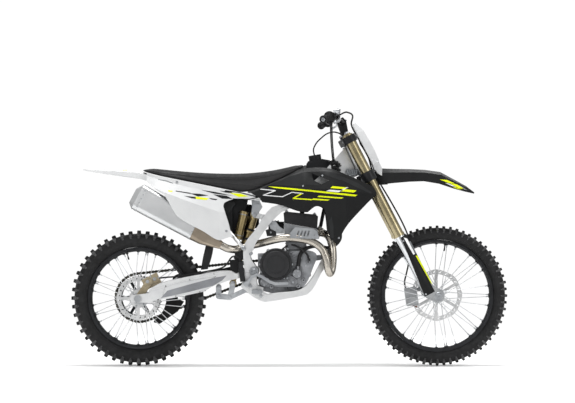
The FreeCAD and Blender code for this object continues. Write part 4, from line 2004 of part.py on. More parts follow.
def footpegs():
    """The footpegs: an open frame on a clevis, both sides."""
    inner = POST_Y + SPAR_THICKNESS / 2 + GAP
    outer = inner + 92
    tray = block([(PEG_X - 26, PEG_Z - 8), (PEG_X + 26, PEG_Z - 8), (PEG_X + 26, PEG_Z + 10), (PEG_X - 26, PEG_Z + 10)], inner + 18, outer)
    room = block([(PEG_X - 20, PEG_Z - 20), (PEG_X + 20, PEG_Z - 20), (PEG_X + 20, PEG_Z + 20), (PEG_X - 20, PEG_Z + 20)], inner + 26, outer - 7)
    stub = disc(PEG_X, PEG_Z, 12.0, inner, inner + 20)
    notches = []
    for number in range(PEG_TEETH):
        y = inner + 24 + number * PEG_TOOTH_STEP
        notches.append(Part.makeBox(60, PEG_TOOTH_STEP / 2, 10, V(PEG_X - 30, y, PEG_Z + 5)))
    peg = joined([tray.cut([room] + notches), stub])
    return Part.makeCompound(both_sides(peg))


PEG_TEETH = 8
PEG_TOOTH_STEP = 8.0


def rear_master_cylinder():
    """The rear brake's master cylinder, upright beside the right post."""
    low = V(522, -POST_Y - SPAR_THICKNESS / 2 - 13 - GAP, 424)
    body = rod(low, low.add(V(-14, 0, 96)), 13.0)
    return body


def chain_guide():
    """The guide that keeps the chain's lower run in line, under the left arm."""
    outer = block([(70, 214), (100, 206), (190, 268), (222, 318), (196, 330), (120, 316), (90, 286)], CHAIN_Y - 20, CHAIN_Y + 20)
    tunnel = Part.Face(chain_loop(-CHAIN_HALF_HEIGHT - 4)).extrude(V(0, 2 * CHAIN_HALF_WIDTH + 6, 0))
    inside = Part.Face(chain_loop(CHAIN_HALF_HEIGHT + 4)).extrude(V(0, 2 * CHAIN_HALF_WIDTH + 6, 0))
    loop = tunnel.cut(inside)
    loop.translate(V(0, CHAIN_Y - CHAIN_HALF_WIDTH - 3, 0))
    room = disc(0, REAR_RADIUS, pitch_radius(REAR_TEETH) + CHAIN_HALF_HEIGHT + 5, CHAIN_Y - 60, CHAIN_Y + 60)
    ear = block([(130, 296), (190, 310), (190, 345), (130, 334.5)], CHAIN_Y + 16, ARM_AXLE_Y)
    return joined([outer.cut([loop, room]), ear])


def mud_flap():
    """The flap between the rear tyre and the shock absorber."""
    return slab([[(340, 685.4)], [(372, 674.2)], [(366, 560), (344, 488)], [(330, 488)], [(350, 560), (344, 620)]], -48.0, 48.0)


# All pieces, by node name

def pieces():
    """Every piece of the bike with its node's name."""
    rear = (0, REAR_RADIUS)
    front = (WHEELBASE, FRONT_RADIUS)
    return {
        "rear_tyre": tyre(*rear, REAR_RADIUS, REAR_TYRE_WIDTH, REAR_RIM_RADIUS, REAR_RIM_WIDTH, REAR_ROWS),
        "rear_rim": rim(*rear, REAR_RIM_RADIUS, REAR_RIM_WIDTH, REAR_RIM_DEPTH),
        "rear_spokes": spoke_set(*rear, REAR_FLANGE_RADIUS, REAR_FLANGE_Y, REAR_RIM_RADIUS - REAR_RIM_DEPTH),
        "rear_hub": rear_hub(),
        "rear_disc": wave_disc(*rear, REAR_DISC_RADIUS, REAR_DISC_Y, REAR_HUB_RADIUS, REAR_DISC_ARMS),
        "rear_sprocket": rear_sprocket(),
        "front_tyre": tyre(*front, FRONT_RADIUS, FRONT_TYRE_WIDTH, FRONT_RIM_RADIUS, FRONT_RIM_WIDTH, FRONT_ROWS),
        "front_rim": rim(*front, FRONT_RIM_RADIUS, FRONT_RIM_WIDTH, FRONT_RIM_DEPTH),
        "front_spokes": spoke_set(*front, FRONT_FLANGE_RADIUS, FRONT_FLANGE_Y, FRONT_RIM_RADIUS - FRONT_RIM_DEPTH),
        "front_hub": front_hub(),
        "front_disc": wave_disc(*front, FRONT_DISC_RADIUS, FRONT_DISC_Y, FRONT_HUB_RADIUS, FRONT_DISC_ARMS),
        "frame": frame(),
        "subframe": subframe(),
        "swingarm": swingarm(),
        "rear_axle": rear_axle(),
        "shock_absorber": shock_absorber(),
        "shock_spring": shock_spring(),
        "shock_linkage": shock_linkage(),
        "crankcase": crankcase(),
        "cylinder": cylinder(),
        "head_cover": head_cover(),
        "clutch_cover": clutch_cover(),
        "ignition_cover": ignition_cover(),
        "throttle_body": throttle_body(),
        "front_sprocket": front_sprocket(),
        "chain": chain(),
        "chain_guide": chain_guide(),
        "chain_slider": chain_slider(),
        "heat_guard": heat_guard(),
        "hoses": hoses(),
        "exhaust_header": exhaust_header(),
        "silencer": silencer(),
        "silencer_cap": silencer_cap(),
        "airbox": airbox(),
        "radiators": radiators(),
        "fuel_tank": fuel_tank(),
        "seat": seat(),
        "side_panels": Part.makeCompound([
            side_panel(-1, RIGHT_PANEL_SECTION_shares, 97.0, 107.0), side_panel(1, LEFT_PANEL_SECTION_shares, 95.0, 100.0),
        ]),
        "shrouds": Part.makeCompound([shroud(-1), shroud(1)]),
        "rear_fender": rear_fender(),
        "mud_flap": mud_flap(),
        "rear_caliper": rear_caliper(),
        "rear_master_cylinder": rear_master_cylinder(),
        "brake_pedal": brake_pedal(),
        "shift_lever": shift_lever(),
        "footpegs": footpegs(),
        "triple_clamps": triple_clamps(),
        "handlebar": handlebar(),
        "grips": grips(),
        "control_levers": control_levers(),
        "fork_outer_tubes": fork_outer_tubes(),
        "fork_inner_tubes": fork_inner_tubes(),
        "fork_guards": fork_guards(),
        "front_axle": front_axle(),
        "front_caliper": front_caliper(),
        "front_brake_hose": front_brake_hose(),
        "number_plate": number_plate(),
        "front_fender": front_fender(),
    }


os.makedirs("parts", exist_ok=True)
for name, shape in pieces().items():
    moved = shape.copy()
    moved.translate(V(-RIDER_X, 0, -RIDER_Z))
    moved.exportStep("parts/" + name + ".step")
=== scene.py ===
import bpy
import bmesh
import json
from math import asin, atan2, copysign, cos, exp, pi, radians, sin
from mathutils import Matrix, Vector
from mathutils.bvhtree import BVHTree


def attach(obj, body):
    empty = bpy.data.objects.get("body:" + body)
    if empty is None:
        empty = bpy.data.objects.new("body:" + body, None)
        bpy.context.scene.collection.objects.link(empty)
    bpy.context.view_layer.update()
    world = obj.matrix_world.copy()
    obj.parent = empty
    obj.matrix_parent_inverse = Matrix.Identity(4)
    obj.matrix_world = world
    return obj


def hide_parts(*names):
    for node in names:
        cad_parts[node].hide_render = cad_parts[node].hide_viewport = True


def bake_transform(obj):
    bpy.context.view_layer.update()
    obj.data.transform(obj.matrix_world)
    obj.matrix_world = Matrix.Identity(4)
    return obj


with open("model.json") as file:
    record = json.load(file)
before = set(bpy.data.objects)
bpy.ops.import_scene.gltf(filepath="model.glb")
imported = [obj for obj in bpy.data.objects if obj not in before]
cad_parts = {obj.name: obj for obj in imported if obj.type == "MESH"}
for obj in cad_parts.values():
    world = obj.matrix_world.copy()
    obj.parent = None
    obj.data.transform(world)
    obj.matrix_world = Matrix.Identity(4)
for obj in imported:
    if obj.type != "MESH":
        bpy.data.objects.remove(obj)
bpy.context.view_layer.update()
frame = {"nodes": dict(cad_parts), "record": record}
nodes = frame["nodes"]

# Places. Bike axes: X from the rear axle forward, Y to the left, Z from the ground, in millimetres.

RIDER_X = 504.0
RIDER_Z = 958.0
WHEELBASE = 1492.0
REAR_RADIUS = 338.0
FRONT_RADIUS = 350.5
RAKE = radians(27.2)
FORK_UP = Vector((-sin(RAKE), 0, cos(RAKE)))
FORK_AHEAD = Vector((cos(RAKE), 0, sin(RAKE)))
LEFT = (0, 1, 0)
RIGHT = (0, -1, 0)
UP = (0, 0, 1)
WHITE = (1, 1, 1, 1)


def at(x, y, z):
    """A point of the bike in the frame of the scene, in metres."""
    return Vector(((x - RIDER_X) / 1000, y / 1000, (z - RIDER_Z) / 1000))


def on_bike(spot):
    """A point of the scene in the bike's millimetres."""
    return Vector((spot.x * 1000 + RIDER_X, spot.y * 1000, spot.z * 1000 + RIDER_Z))


def fork_at(ahead, y, along):
    """A point given along the fork and ahead of the axle's line."""
    x = WHEELBASE + ahead * cos(RAKE) - along * sin(RAKE)
    z = FRONT_RADIUS + ahead * sin(RAKE) + along * cos(RAKE)
    return Vector((x, y, z))


def in_scene(thing):
    """A new object, linked to the scene."""
    bpy.context.scene.collection.objects.link(thing)
    return thing


# Camera and lights

CAMERA_X = 743.0
CAMERA_Z = 738.7
CAMERA_AWAY = 12300.0
FOCAL_PIXELS = 2456.0
IMAGE_WIDTH = 575.0
MIDDLE_COLUMN = 287.5
MIDDLE_ROW = 218.0
PIXEL = 5.008
PITCH = radians(0.385)

camera_data = bpy.data.cameras.new("camera")
camera_data.sensor_width = 36.0
camera_data.lens = FOCAL_PIXELS / IMAGE_WIDTH * camera_data.sensor_width
camera_data.clip_end = 100.0
camera = in_scene(bpy.data.objects.new("camera", camera_data))
camera.location = at(CAMERA_X, -CAMERA_AWAY, CAMERA_Z)
camera.rotation_euler = (pi / 2 + PITCH, 0, 0)
bpy.context.scene.camera = camera

# Each light's place, width, depth, power and aim
for name, place, width, depth, power, aim in (
    ("light_top", (720, -250, 6500), 4.2, 1.8, 300, (745, 0, 0)),
    ("light_right", (-1200, -4200, 2300), 2.2, 1.6, 30, (700, 0, 650)),
    ("light_front", (3900, -2600, 1900), 1.4, 2.2, 26, (900, 0, 600)),
    ("light_left", (900, 4200, 2200), 3.0, 2.0, 36, (750, 0, 600)),
):
    data = bpy.data.lights.new(name, "AREA")
    data.shape = "RECTANGLE"
    data.size = width
    data.size_y = depth
    data.energy = power
    light = in_scene(bpy.data.objects.new(name, data))
    light.location = at(*place)
    light.rotation_euler = (at(*aim) - light.location).to_track_quat("-Z", "Y").to_euler()


def add_node(tree, kind, inputs, **settings):
    """A shader node whose inputs are values or the outputs of other nodes."""
    made = tree.nodes.new("ShaderNode" + kind)
    for key, value in settings.items():
        setattr(made, key, value)
    for key, value in inputs.items():
        if isinstance(value, bpy.types.NodeSocket):
            tree.links.new(value, made.inputs[key])
        else:
            made.inputs[key].default_value = value
    return made


def remap(tree, value, low, high, to_low, to_high, **settings):
    """A value moved from one range to another."""
    limits = {"Value": value, "From Min": low, "From Max": high, "To Min": to_low, "To Max": to_high}
    return add_node(tree, "MapRange", limits, **settings).outputs[0]


def studio_world(sky, side, ground, backdrop):
    """A studio that is bright above and dim at eye height, in front of a white backdrop."""
    world = bpy.data.worlds.new("studio")
    world.use_nodes = True
    tree = world.node_tree
    tree.nodes.clear()
    place = add_node(tree, "TexCoord", {}).outputs["Generated"]
    height = add_node(tree, "SeparateXYZ", {0: place}).outputs["Z"]
    above = remap(tree, height, -0.05, 0.75, side, sky, interpolation_type="SMOOTHSTEP")
    below = remap(tree, height, -0.25, 0.0, ground / side, 1.0)
    level = add_node(tree, "Math", {0: above, 1: below}, operation="MULTIPLY").outputs[0]
    path = add_node(tree, "LightPath", {}).outputs["Is Camera Ray"]
    room, paper = (
        add_node(tree, "Background", {"Color": WHITE, "Strength": strength}).outputs[0]
        for strength in (level, backdrop)
    )
    mix = add_node(tree, "MixShader", {0: path, 1: room, 2: paper})
    add_node(tree, "OutputWorld", {0: mix.outputs[0]})
    bpy.context.scene.world = world


studio_world(0.62, 0.55, 0.30, 1.02)
bpy.context.scene.view_settings.view_transform = "Standard"


# Finishes

def linear(code):
    """A colour code as linear red, green and blue."""
    values = [int(code[i:i + 2], 16) / 255 for i in (1, 3, 5)]
    return [v / 12.92 if v <= 0.04045 else ((v + 0.055) / 1.055) ** 2.4 for v in values] + [1]


class Finish:
    """A node material that is built up from noise layers on object coordinates."""

    def __init__(self, name):
        self.material = bpy.data.materials.new(name)
        self.material.use_nodes = True
        self.tree = self.material.node_tree
        self.tree.nodes.clear()
        self.shader = self.add("BsdfPrincipled")
        self.add("OutputMaterial", {0: self.shader.outputs[0]})
        self.place = self.add("TexCoord").outputs["Object"]
        self.skin = None

    def add(self, kind, inputs={}, **settings):
        return add_node(self.tree, kind, inputs, **settings)

    def join(self, source, target):
        self.tree.links.new(source, self.shader.inputs[target])

    def noise(self, scale, detail=3, stretch=None):
        place = self.add("Mapping", {"Vector": self.place, "Scale": stretch}).outputs[0] if stretch else self.place
        spots = {"Vector": place, "Scale": scale, "Detail": detail, "Roughness": 0.55}
        return self.add("TexNoise", spots).outputs["Fac"]

    def cells(self, scale):
        return self.add("TexVoronoi", {"Vector": self.place, "Scale": scale}).outputs["Distance"]

    def shades(self, factor, dark, light):
        """A colour between two shades by a factor."""
        node = self.add("ValToRGB", {0: factor})
        for element, spot, code in zip(node.color_ramp.elements, (0.3, 0.7), (dark, light)):
            element.position = spot
            element.color = linear(code)
        return node.outputs[0]

    def colour(self, factor, dark, light):
        self.join(self.shades(factor, dark, light), "Base Color")

    def roughness(self, factor, low, high):
        self.join(remap(self.tree, factor, 0.3, 0.7, low, high), "Roughness")

    def bump(self, height, strength, distance):
        """One more relief on top of those before it."""
        inputs = {"Height": height, "Strength": strength, "Distance": distance}
        if self.skin:
            inputs["Normal"] = self.skin
        self.skin = self.add("Bump", inputs).outputs[0]
        self.join(self.skin, "Normal")

    def two_colours(self, factor, direction, offset, first, second):
        """One pair of shades before a plane and another pair beyond it."""
        along = self.add("VectorMath", {0: self.place, 1: direction}, operation="DOT_PRODUCT").outputs["Value"]
        beyond = remap(self.tree, along, offset - 0.0004, offset + 0.0004, 0, 1)
        pairs = {6: self.shades(factor, *first), 7: self.shades(factor, *second)}
        self.join(self.add("Mix", {"Factor": beyond, **pairs}, data_type="RGBA").outputs[2], "Base Color")

    def painted_recess_shade(self, reach, least):
        """Painted shade: the base colour darkened by ambient occlusion in corners and recesses."""
        unshaded_colour = self.shader.inputs["Base Color"].links[0].from_socket
        hollow = self.add("AmbientOcclusion", {"Distance": reach}, samples=6).outputs["AO"]
        tone = remap(self.tree, hollow, 0.15, 0.85, least, 1)
        mix = self.add("Mix", {"Factor": 1, 6: unshaded_colour, 7: tone}, data_type="RGBA", blend_type="MULTIPLY")
        self.join(mix.outputs[2], "Base Color")

    def set(self, **values):
        for key, value in values.items():
            self.shader.inputs[key.replace("_", " ")].default_value = value


def plastic(f, dark, light, low, high, grain, depth):
    """Moulded plastic: slight fading, uneven gloss, a fine grain and hairline scratches."""
    f.colour(f.noise(9, 5), dark, light)
    f.roughness(f.noise(26, 6), low, high)
    f.bump(f.noise(grain, 2), depth, 0.0004)
    f.bump(f.noise(70, 4, (1, 1, 14)), depth * 0.35, 0.0003)
    f.set(Specular_IOR_Level=0.24)


def brushed(f, dark, light, low, high, stretch, metallic=1):
    """Metal with fine lines along one direction and a slight stain."""
    f.colour(f.noise(13, 5), dark, light)
    f.roughness(f.noise(60, 5, stretch), low, high)
    f.bump(f.noise(160, 3, stretch), 0.10, 0.0003)
    f.set(Metallic=metallic)


def sleeve(f):
    """The silencer: brushed aluminium, with a front cone of heat-tinted titanium."""
    f.two_colours(f.noise(9, 4), (0.908, 0, -0.418), -0.0882, ("#CDCFD0", "#DDDEDF"), ("#857A6C", "#A69A8A"))
    f.roughness(f.noise(60, 5, (1, 1, 9)), 0.28, 0.38)
    f.bump(f.noise(160, 3, (1, 1, 9)), 0.06, 0.0002)
    f.set(Metallic=1)


def cast(f, dark, light, low, high, grain, depth, metallic=1):
    """Cast or blasted metal with a sandy skin, and painted shade darkening its recesses."""
    f.colour(f.noise(18, 6), dark, light)
    f.roughness(f.noise(40, 5), low, high)
    f.bump(f.noise(grain, 3), depth, 0.0004)
    f.bump(f.cells(grain * 0.6), depth * 0.5, 0.0003)
    # Painted shade: ambient occlusion darkens the colour in recesses.
    f.painted_recess_shade(0.035, 0.22)
    f.set(Metallic=metallic)


def rubber(f, dark, light, low, high):
    """Matt rubber with a little dust in its skin."""
    f.colour(f.noise(30, 6), dark, light)
    f.roughness(f.noise(55, 5), low, high)
    f.bump(f.noise(900, 2), 0.25, 0.0003)
    f.bump(f.noise(90, 4), 0.12, 0.0006)
    f.set(Specular_IOR_Level=0.35)


def gripper(f):
    """The seat's cover: coated cloth with small raised cells."""
    f.colour(f.noise(40, 6), "#111112", "#1B1B1C")
    f.roughness(f.noise(60, 5), 0.62, 0.82)
    f.bump(f.cells(420), 0.45, 0.0006)
    f.bump(f.noise(1500, 2), 0.25, 0.0003)
    f.set(Specular_IOR_Level=0.35, Sheen_Weight=0.08)


def vinyl(f):
    """The seat's sides: grained coated cloth."""
    f.colour(f.noise(25, 6), "#121213", "#1C1C1D")
    f.roughness(f.noise(45, 5), 0.48, 0.66)
    f.bump(f.cells(900), 0.25, 0.0003)
    f.bump(f.noise(30, 4), 0.10, 0.0015)
    f.set(Specular_IOR_Level=0.4, Sheen_Weight=0.05)


EVEN = (1, 1, 1)
ALONG_Z = (14, 14, 1)
FINISHES = {}
# Each finish's dark and light shade, its least and greatest roughness, and the grain of its skin
for name, make, *values in (
    ("tyre_rubber", rubber, "#0D0D0E", "#181819", 0.55, 0.80),
    # A lighter copy of the tyre's rubber for the shoulder blocks: painted highlight.
    ("block_rubber_lit", rubber, "#333334", "#525253", 0.42, 0.62),
    ("rim_black", brushed, "#1C1D1F", "#2B2C2F", 0.26, 0.40, (1, 20, 1), 0.6),
    ("spoke_steel", brushed, "#CFD1D3", "#E8E9EA", 0.30, 0.44, EVEN),
    ("hub_metal", brushed, "#A9ACAF", "#C9CCCE", 0.22, 0.38, (1, 12, 1)),
    ("disc_steel", brushed, "#C2C3C4", "#DEDEDE", 0.26, 0.38, (1, 30, 1)),
    ("sprocket_metal", brushed, "#1D1F21", "#3A3C3E", 0.30, 0.48, (1, 20, 1)),
    ("frame_metal", cast, "#DCDDDE", "#EBECEC", 0.30, 0.42, 700, 0.10),
    ("cast_metal", cast, "#7C7E81", "#A0A2A5", 0.42, 0.60, 520, 0.30),
    ("machined_metal", brushed, "#9C9FA3", "#BFC2C5", 0.26, 0.42, (1, 9, 1)),
    ("cover_black", cast, "#1A1B1D", "#29292B", 0.36, 0.52, 600, 0.18, 0.3),
    ("chain_steel", brushed, "#2A2927", "#5A5852", 0.34, 0.52, (1, 8, 1)),
    ("pipe_steel", brushed, "#A8A298", "#BDB7AD", 0.20, 0.30, (1, 6, 1)),
    ("silencer_metal", sleeve),
    ("fork_gold", brushed, "#8F8465", "#B2A787", 0.20, 0.30, ALONG_Z),
    ("chrome_tube", brushed, "#C9CCCE", "#E2E4E6", 0.05, 0.14, ALONG_Z),
    ("clamp_black", cast, "#101112", "#1D1E20", 0.34, 0.50, 700, 0.14, 0.4),
    ("bar_black", brushed, "#0F1011", "#1B1C1D", 0.28, 0.42, EVEN, 0.5),
    ("grip_rubber", rubber, "#0E0E0F", "#1A1A1B", 0.60, 0.80),
    ("lever_metal", brushed, "#A4A7AA", "#C6C9CC", 0.24, 0.38, (1, 1, 6)),
    ("plastic_black", plastic, "#090A0B", "#101112", 0.42, 0.56, 620, 0.10),
    # A lighter copy of the black plastic: painted highlights on the shroud facets; also used for the airbox cheek.
    ("plastic_facet", plastic, "#1B1C1D", "#262728", 0.36, 0.50, 620, 0.10),
    ("plastic_white", plastic, "#C9CACB", "#D3D4D4", 0.30, 0.44, 620, 0.06),
    ("seat_cover", gripper),
    ("mark_yellow", plastic, "#DDE800", "#E9F500", 0.28, 0.42, 620, 0.05),
    ("mark_white", plastic, "#E6E7E8", "#F2F3F3", 0.28, 0.42, 620, 0.05),
    ("mark_black", plastic, "#121315", "#1C1D1F", 0.28, 0.42, 620, 0.05),
    ("mark_grey", plastic, "#6F7275", "#8A8D90", 0.28, 0.42, 620, 0.05),
    ("seat_side", vinyl),
    # A darker copy of the metal for the swingarm's recess: painted shade.
    ("recess_metal", brushed, "#8C8E92", "#A3A5A9", 0.30, 0.42, (1, 1, 9)),
    ("pad_brown", cast, "#6E4638", "#8C5C4A", 0.36, 0.50, 600, 0.14, 0.6),
    ("thread", plastic, "#2A2A2B", "#3C3C3D", 0.60, 0.75, 900, 0.10),
    ("rubber_black", rubber, "#121213", "#1E1E1F", 0.50, 0.70),
    ("airbox_plastic", plastic, "#0F1011", "#1B1C1E", 0.48, 0.66, 420, 0.25),
    ("tank_plastic", plastic, "#121315", "#1C1D1F", 0.42, 0.60, 420, 0.20),
    ("radiator_metal", brushed, "#85898D", "#A9ADB1", 0.34, 0.50, (1, 1, 20)),
    ("damper_gold", brushed, "#8E7D57", "#B3A37A", 0.22, 0.36, ALONG_Z),
    ("spring_black", cast, "#121314", "#202123", 0.30, 0.46, 500, 0.14, 0.3),
    ("bolt_steel", brushed, "#94979B", "#BABDC0", 0.26, 0.42, EVEN),
    ("caliper_gold", cast, "#968A72", "#BCB097", 0.28, 0.44, 600, 0.16),
    ("caliper_grey", cast, "#919395", "#B5B7B9", 0.30, 0.46, 600, 0.16),
):
    finish = Finish(name)
    make(finish, *values)
    FINISHES[name] = finish.material
SLOTS = {entry["node"]: entry["material_slot"] for entry in frame["record"]["subparts"]}
for node, slot in SLOTS.items():
    nodes[node].data.materials.clear()
    nodes[node].data.materials.append(FINISHES[slot])


# Mesh building

def circle(count, first=0):
    """Evenly spaced angles of a full turn."""
    return [first + 2 * pi * k / count for k in range(count)]


class Shape:
    """Corner points, in the bike's millimetres, and faces that are gathered for one piece."""

    def __init__(self):
        self.points = []
        self.faces = []

    def grid(self, rows, capped=False, ring=False):
        """Rows of points, each joined to the next, and in a ring also the last to the first."""
        start = len(self.points)
        count = len(rows[0])
        for row in rows:
            self.points += [Vector(p) for p in row]
        for r in range(len(rows) if ring else len(rows) - 1):
            for c in range(count):
                a = start + r * count + c
                b = start + r * count + (c + 1) % count
                shift = ((r + 1) % len(rows) - r) * count
                self.faces.append((a, b, b + shift, a + shift))
        if capped:
            self.faces.append(tuple(start + c for c in reversed(range(count))))
            self.faces.append(tuple(start + (len(rows) - 1) * count + c for c in range(count)))

    def turned(self, origin, axis, profile, sides=24, capped=True, first=0):
        """A round form from pairs of place along the axis and radius."""
        origin = Vector(origin)
        axis = Vector(axis).normalized()
        across = axis.cross(Vector(UP))
        if across.length < 0.01:
            across = Vector(LEFT)
        across.normalize()
        up = axis.cross(across)
        self.grid([
            [origin + axis * along + (across * cos(t) + up * sin(t)) * reach for t in circle(sides, first)]
            for along, reach in profile
        ], capped)

    def prism(self, outline, low, high, chamfer=0):
        """An outline in x and z between two values of y, its outer rim chamfered inwards."""
        middle = Vector((sum(p[0] for p in outline), sum(p[1] for p in outline))) / len(outline)
        levels = [(low, 0), (high, 0)]
        if chamfer:
            levels[1:] = [(high - copysign(chamfer, high - low), 0), (high, chamfer)]
        rows = []
        for y, inset in levels:
            spokes = [Vector(p) - middle for p in outline]
            ends = [middle + away * (1 - inset / away.length) for away in spokes]
            rows.append([(p.x, y, p.y) for p in ends])
        self.grid(rows, True)

    def tube(self, path, radius, sides=12):
        """A round tube along points, its radius one number or one for each point."""
        path = [Vector(p) for p in path]
        rows = []
        side = None
        for number, point in enumerate(path):
            ahead = (path[min(number + 1, len(path) - 1)] - path[max(number - 1, 0)]).normalized()
            side = side or ahead.orthogonal().normalized()
            side = (side - ahead * side.dot(ahead)).normalized()
            up = ahead.cross(side)
            reach = radius[number] if isinstance(radius, (list, tuple)) else radius
            rows.append([point + (side * cos(t) + up * sin(t)) * reach for t in circle(sides)])
        self.grid(rows, True)

    def brick(self, centre, along, up, length, height, width, chamfer):
        """A box on its own axes with its upper rim chamfered."""
        centre, along, up = Vector(centre), Vector(along).normalized(), Vector(up).normalized()
        across = along.cross(up)
        self.grid([
            [
                centre + up * height * level + along * (length / 2 - inset) * a + across * (width / 2 - inset) * b
                for a, b in ((1, 1), (-1, 1), (-1, -1), (1, -1))
            ]
            for level, inset in ((-0.5, 0), (0.5 - chamfer / height, 0), (0.5, chamfer))
        ], True)

    def bolt(self, centre, axis, radius, height):
        """A flanged hexagon bolt head."""
        flange = [(0, radius * 1.35), (height * 0.22, radius * 1.35), (height * 0.30, radius * 1.22)]
        self.turned(centre, axis, flange, 18)
        foot = Vector(centre) + Vector(axis).normalized() * height * 0.28
        self.turned(foot, axis, [(0, radius), (height * 0.62, radius), (height * 0.72, radius * 0.88)], 6)

    def socket(self, centre, axis, radius, height):
        """A round screw head with a six-sided recess."""
        rim = [(0, radius), (height * 0.8, radius), (height, radius * 0.88), (height, radius * 0.52)]
        self.turned(centre, axis, rim, 18, False)
        recess = [(0, radius * 0.52), (-height * 0.6, radius * 0.48), (-height * 0.6, 0.01)]
        self.turned(Vector(centre) + Vector(axis).normalized() * height, axis, recess, 18, False)

    def piece(self, name, finish="bolt_steel", body="chassis", replaced=None, smooth=38):
        """The gathered faces as one object that rides on a body, or on none yet, in place of a node or of none."""
        data = bpy.data.meshes.new(name)
        data.from_pydata([tuple(at(*p)) for p in self.points], [], self.faces)
        form = bmesh.new()
        form.from_mesh(data)
        bmesh.ops.recalc_face_normals(form, faces=form.faces)
        form.to_mesh(data)
        form.free()
        data.polygons.foreach_set("use_smooth", [True] * len(data.polygons))
        data.set_sharp_from_angle(angle=radians(smooth))
        data.materials.append(FINISHES[finish])
        thing = in_scene(bpy.data.objects.new(name, data))
        if body:
            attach(thing, body)
        if replaced:
            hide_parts(replaced)
        return thing


def smooth_line(points, steps=8):
    """A line that passes smoothly through its points."""
    points = [Vector(p) for p in points]
    ends = [points[0] * 2 - points[1]] + points + [points[-1] * 2 - points[-2]]
    line = []
    for a, b, c, d in zip(ends, ends[1:], ends[2:], ends[3:]):
        for t in (step / steps for step in range(steps)):
            curve = (2 * a - 5 * b + 4 * c - d) * t * t + (3 * b - a - 3 * c + d) * t ** 3
            line.append(0.5 * (2 * b + (c - a) * t + curve))
    return line + [points[-1]]


# Tyres

CORNER = 0.22
BLOCK = [
    (1, CORNER * 2 - 1), (1, 1 - CORNER * 2), (1 - CORNER * 2, 1), (CORNER * 2 - 1, 1),
    (-1, 1 - CORNER * 2), (-1, CORNER * 2 - 1), (CORNER * 2 - 1, -1), (1 - CORNER * 2, -1),
]


def blocks(shape, x, z, rows, kinds):
    """Rows of blocks round a tyre: each wider at its foot, with cut corners and a chamfered top."""
    for row, angle in enumerate(circle(rows)):
        out = Vector((sin(angle), 0, cos(angle)))
        along = Vector((out.z, 0, -out.x))
        for y, reach, foot, length, width, tilt in kinds[row % len(kinds)]:
            for side in (1, -1):
                lean = radians(side * tilt)
                up = out * cos(lean) + Vector(LEFT) * sin(lean)
                across = up.cross(along)
                middle = Vector((x, side * y, z)) + out * reach
                start = len(shape.points)
                shape.grid([
                    [
                        middle + up * depth + along * (length / 2 + grow) * a + across * (width / 2 + grow) * b
                        for a, b in BLOCK
                    ]
                    for depth, grow in ((-foot, 1.5), (-1.2, 0), (0, -1.1))
                ])
                shape.faces.append(tuple(start + 2 * len(BLOCK) + k for k in range(len(BLOCK))))


def tyre(end, x, z, rows, wall, rings, crown, shoulder):
    """A tyre: a turned carcass with fine rings on its walls, blocks on its crown and blocks on its shoulders."""
    left = smooth_line([(y, r, 0) for y, r in wall], 5)
    section = []
    for y, r in [(-p.x, p.y) for p in reversed(left)] + [(p.x, p.y) for p in left[1:]]:
        lift = sum(0.7 * exp(-((r - ring) / 1.1) ** 2) for ring in rings)
        section.append((y + copysign(lift, y), r))
    shape = Shape()
    shape.grid([[(x + r * sin(t), y, z + r * cos(t)) for y, r in section] for t in circle(160)], ring=True)
    blocks(shape, x, z, rows, crown)
    shape.piece("tyre_" + end, "tyre_rubber", end + "_wheel", end + "_tyre", 32)
    # The shoulder blocks in a lighter copy of the rubber, a painted highlight.
    shape = Shape()
    blocks(shape, x, z, rows, shoulder)
    shape.piece("tyre_" + end + "_blocks", "block_rubber_lit", end + "_wheel", smooth=32)


# Each block's y, reach, foot, length, width and tilt, for rows that take turns
tyre(
    "rear", 0, REAR_RADIUS, 48,
    [(0, 323), (16, 322.5), (30, 320), (42, 314.5), (50, 304), (52.2, 291), (47, 274), (36, 261), (27, 254.6)],
    (259.5, 264, 283, 286),
    [[(9, 338, 17, 17, 15, 3)], [(24, 335.5, 17, 17, 17, 12)]],
    [
        [(47.5, 322.5, 18, 17.5, 17, 38), (50.8, 306.5, 8, 11, 13, 62)],
        [(48.5, 318.5, 17, 15, 15, 42), (50.8, 305, 8, 8.5, 10, 62)],
    ],
)
tyre(
    "front", WHEELBASE, FRONT_RADIUS, 64,
    [(0, 339.5), (14, 338.8), (25, 336), (34, 330), (40.5, 320), (42.8, 309), (39, 296), (30, 286), (21, 280.5)],
    (284.5, 288, 300, 303),
    [[(7.5, 350.5, 12.5, 12, 11, 3)], [(20, 348, 12.5, 12, 12, 13)]],
    [
        [(37.5, 339, 14, 13, 13, 34), (41.4, 322.5, 8, 8.5, 11, 58)],
        [(38.5, 334.5, 14, 11, 12, 38), (41.4, 321, 8, 6.5, 8.5, 58)],
    ],
)


# Wheels

SPOKES_A_SIDE = 18
SPOKE_SWING = 24
SPOKE_STAGGER = 4.5


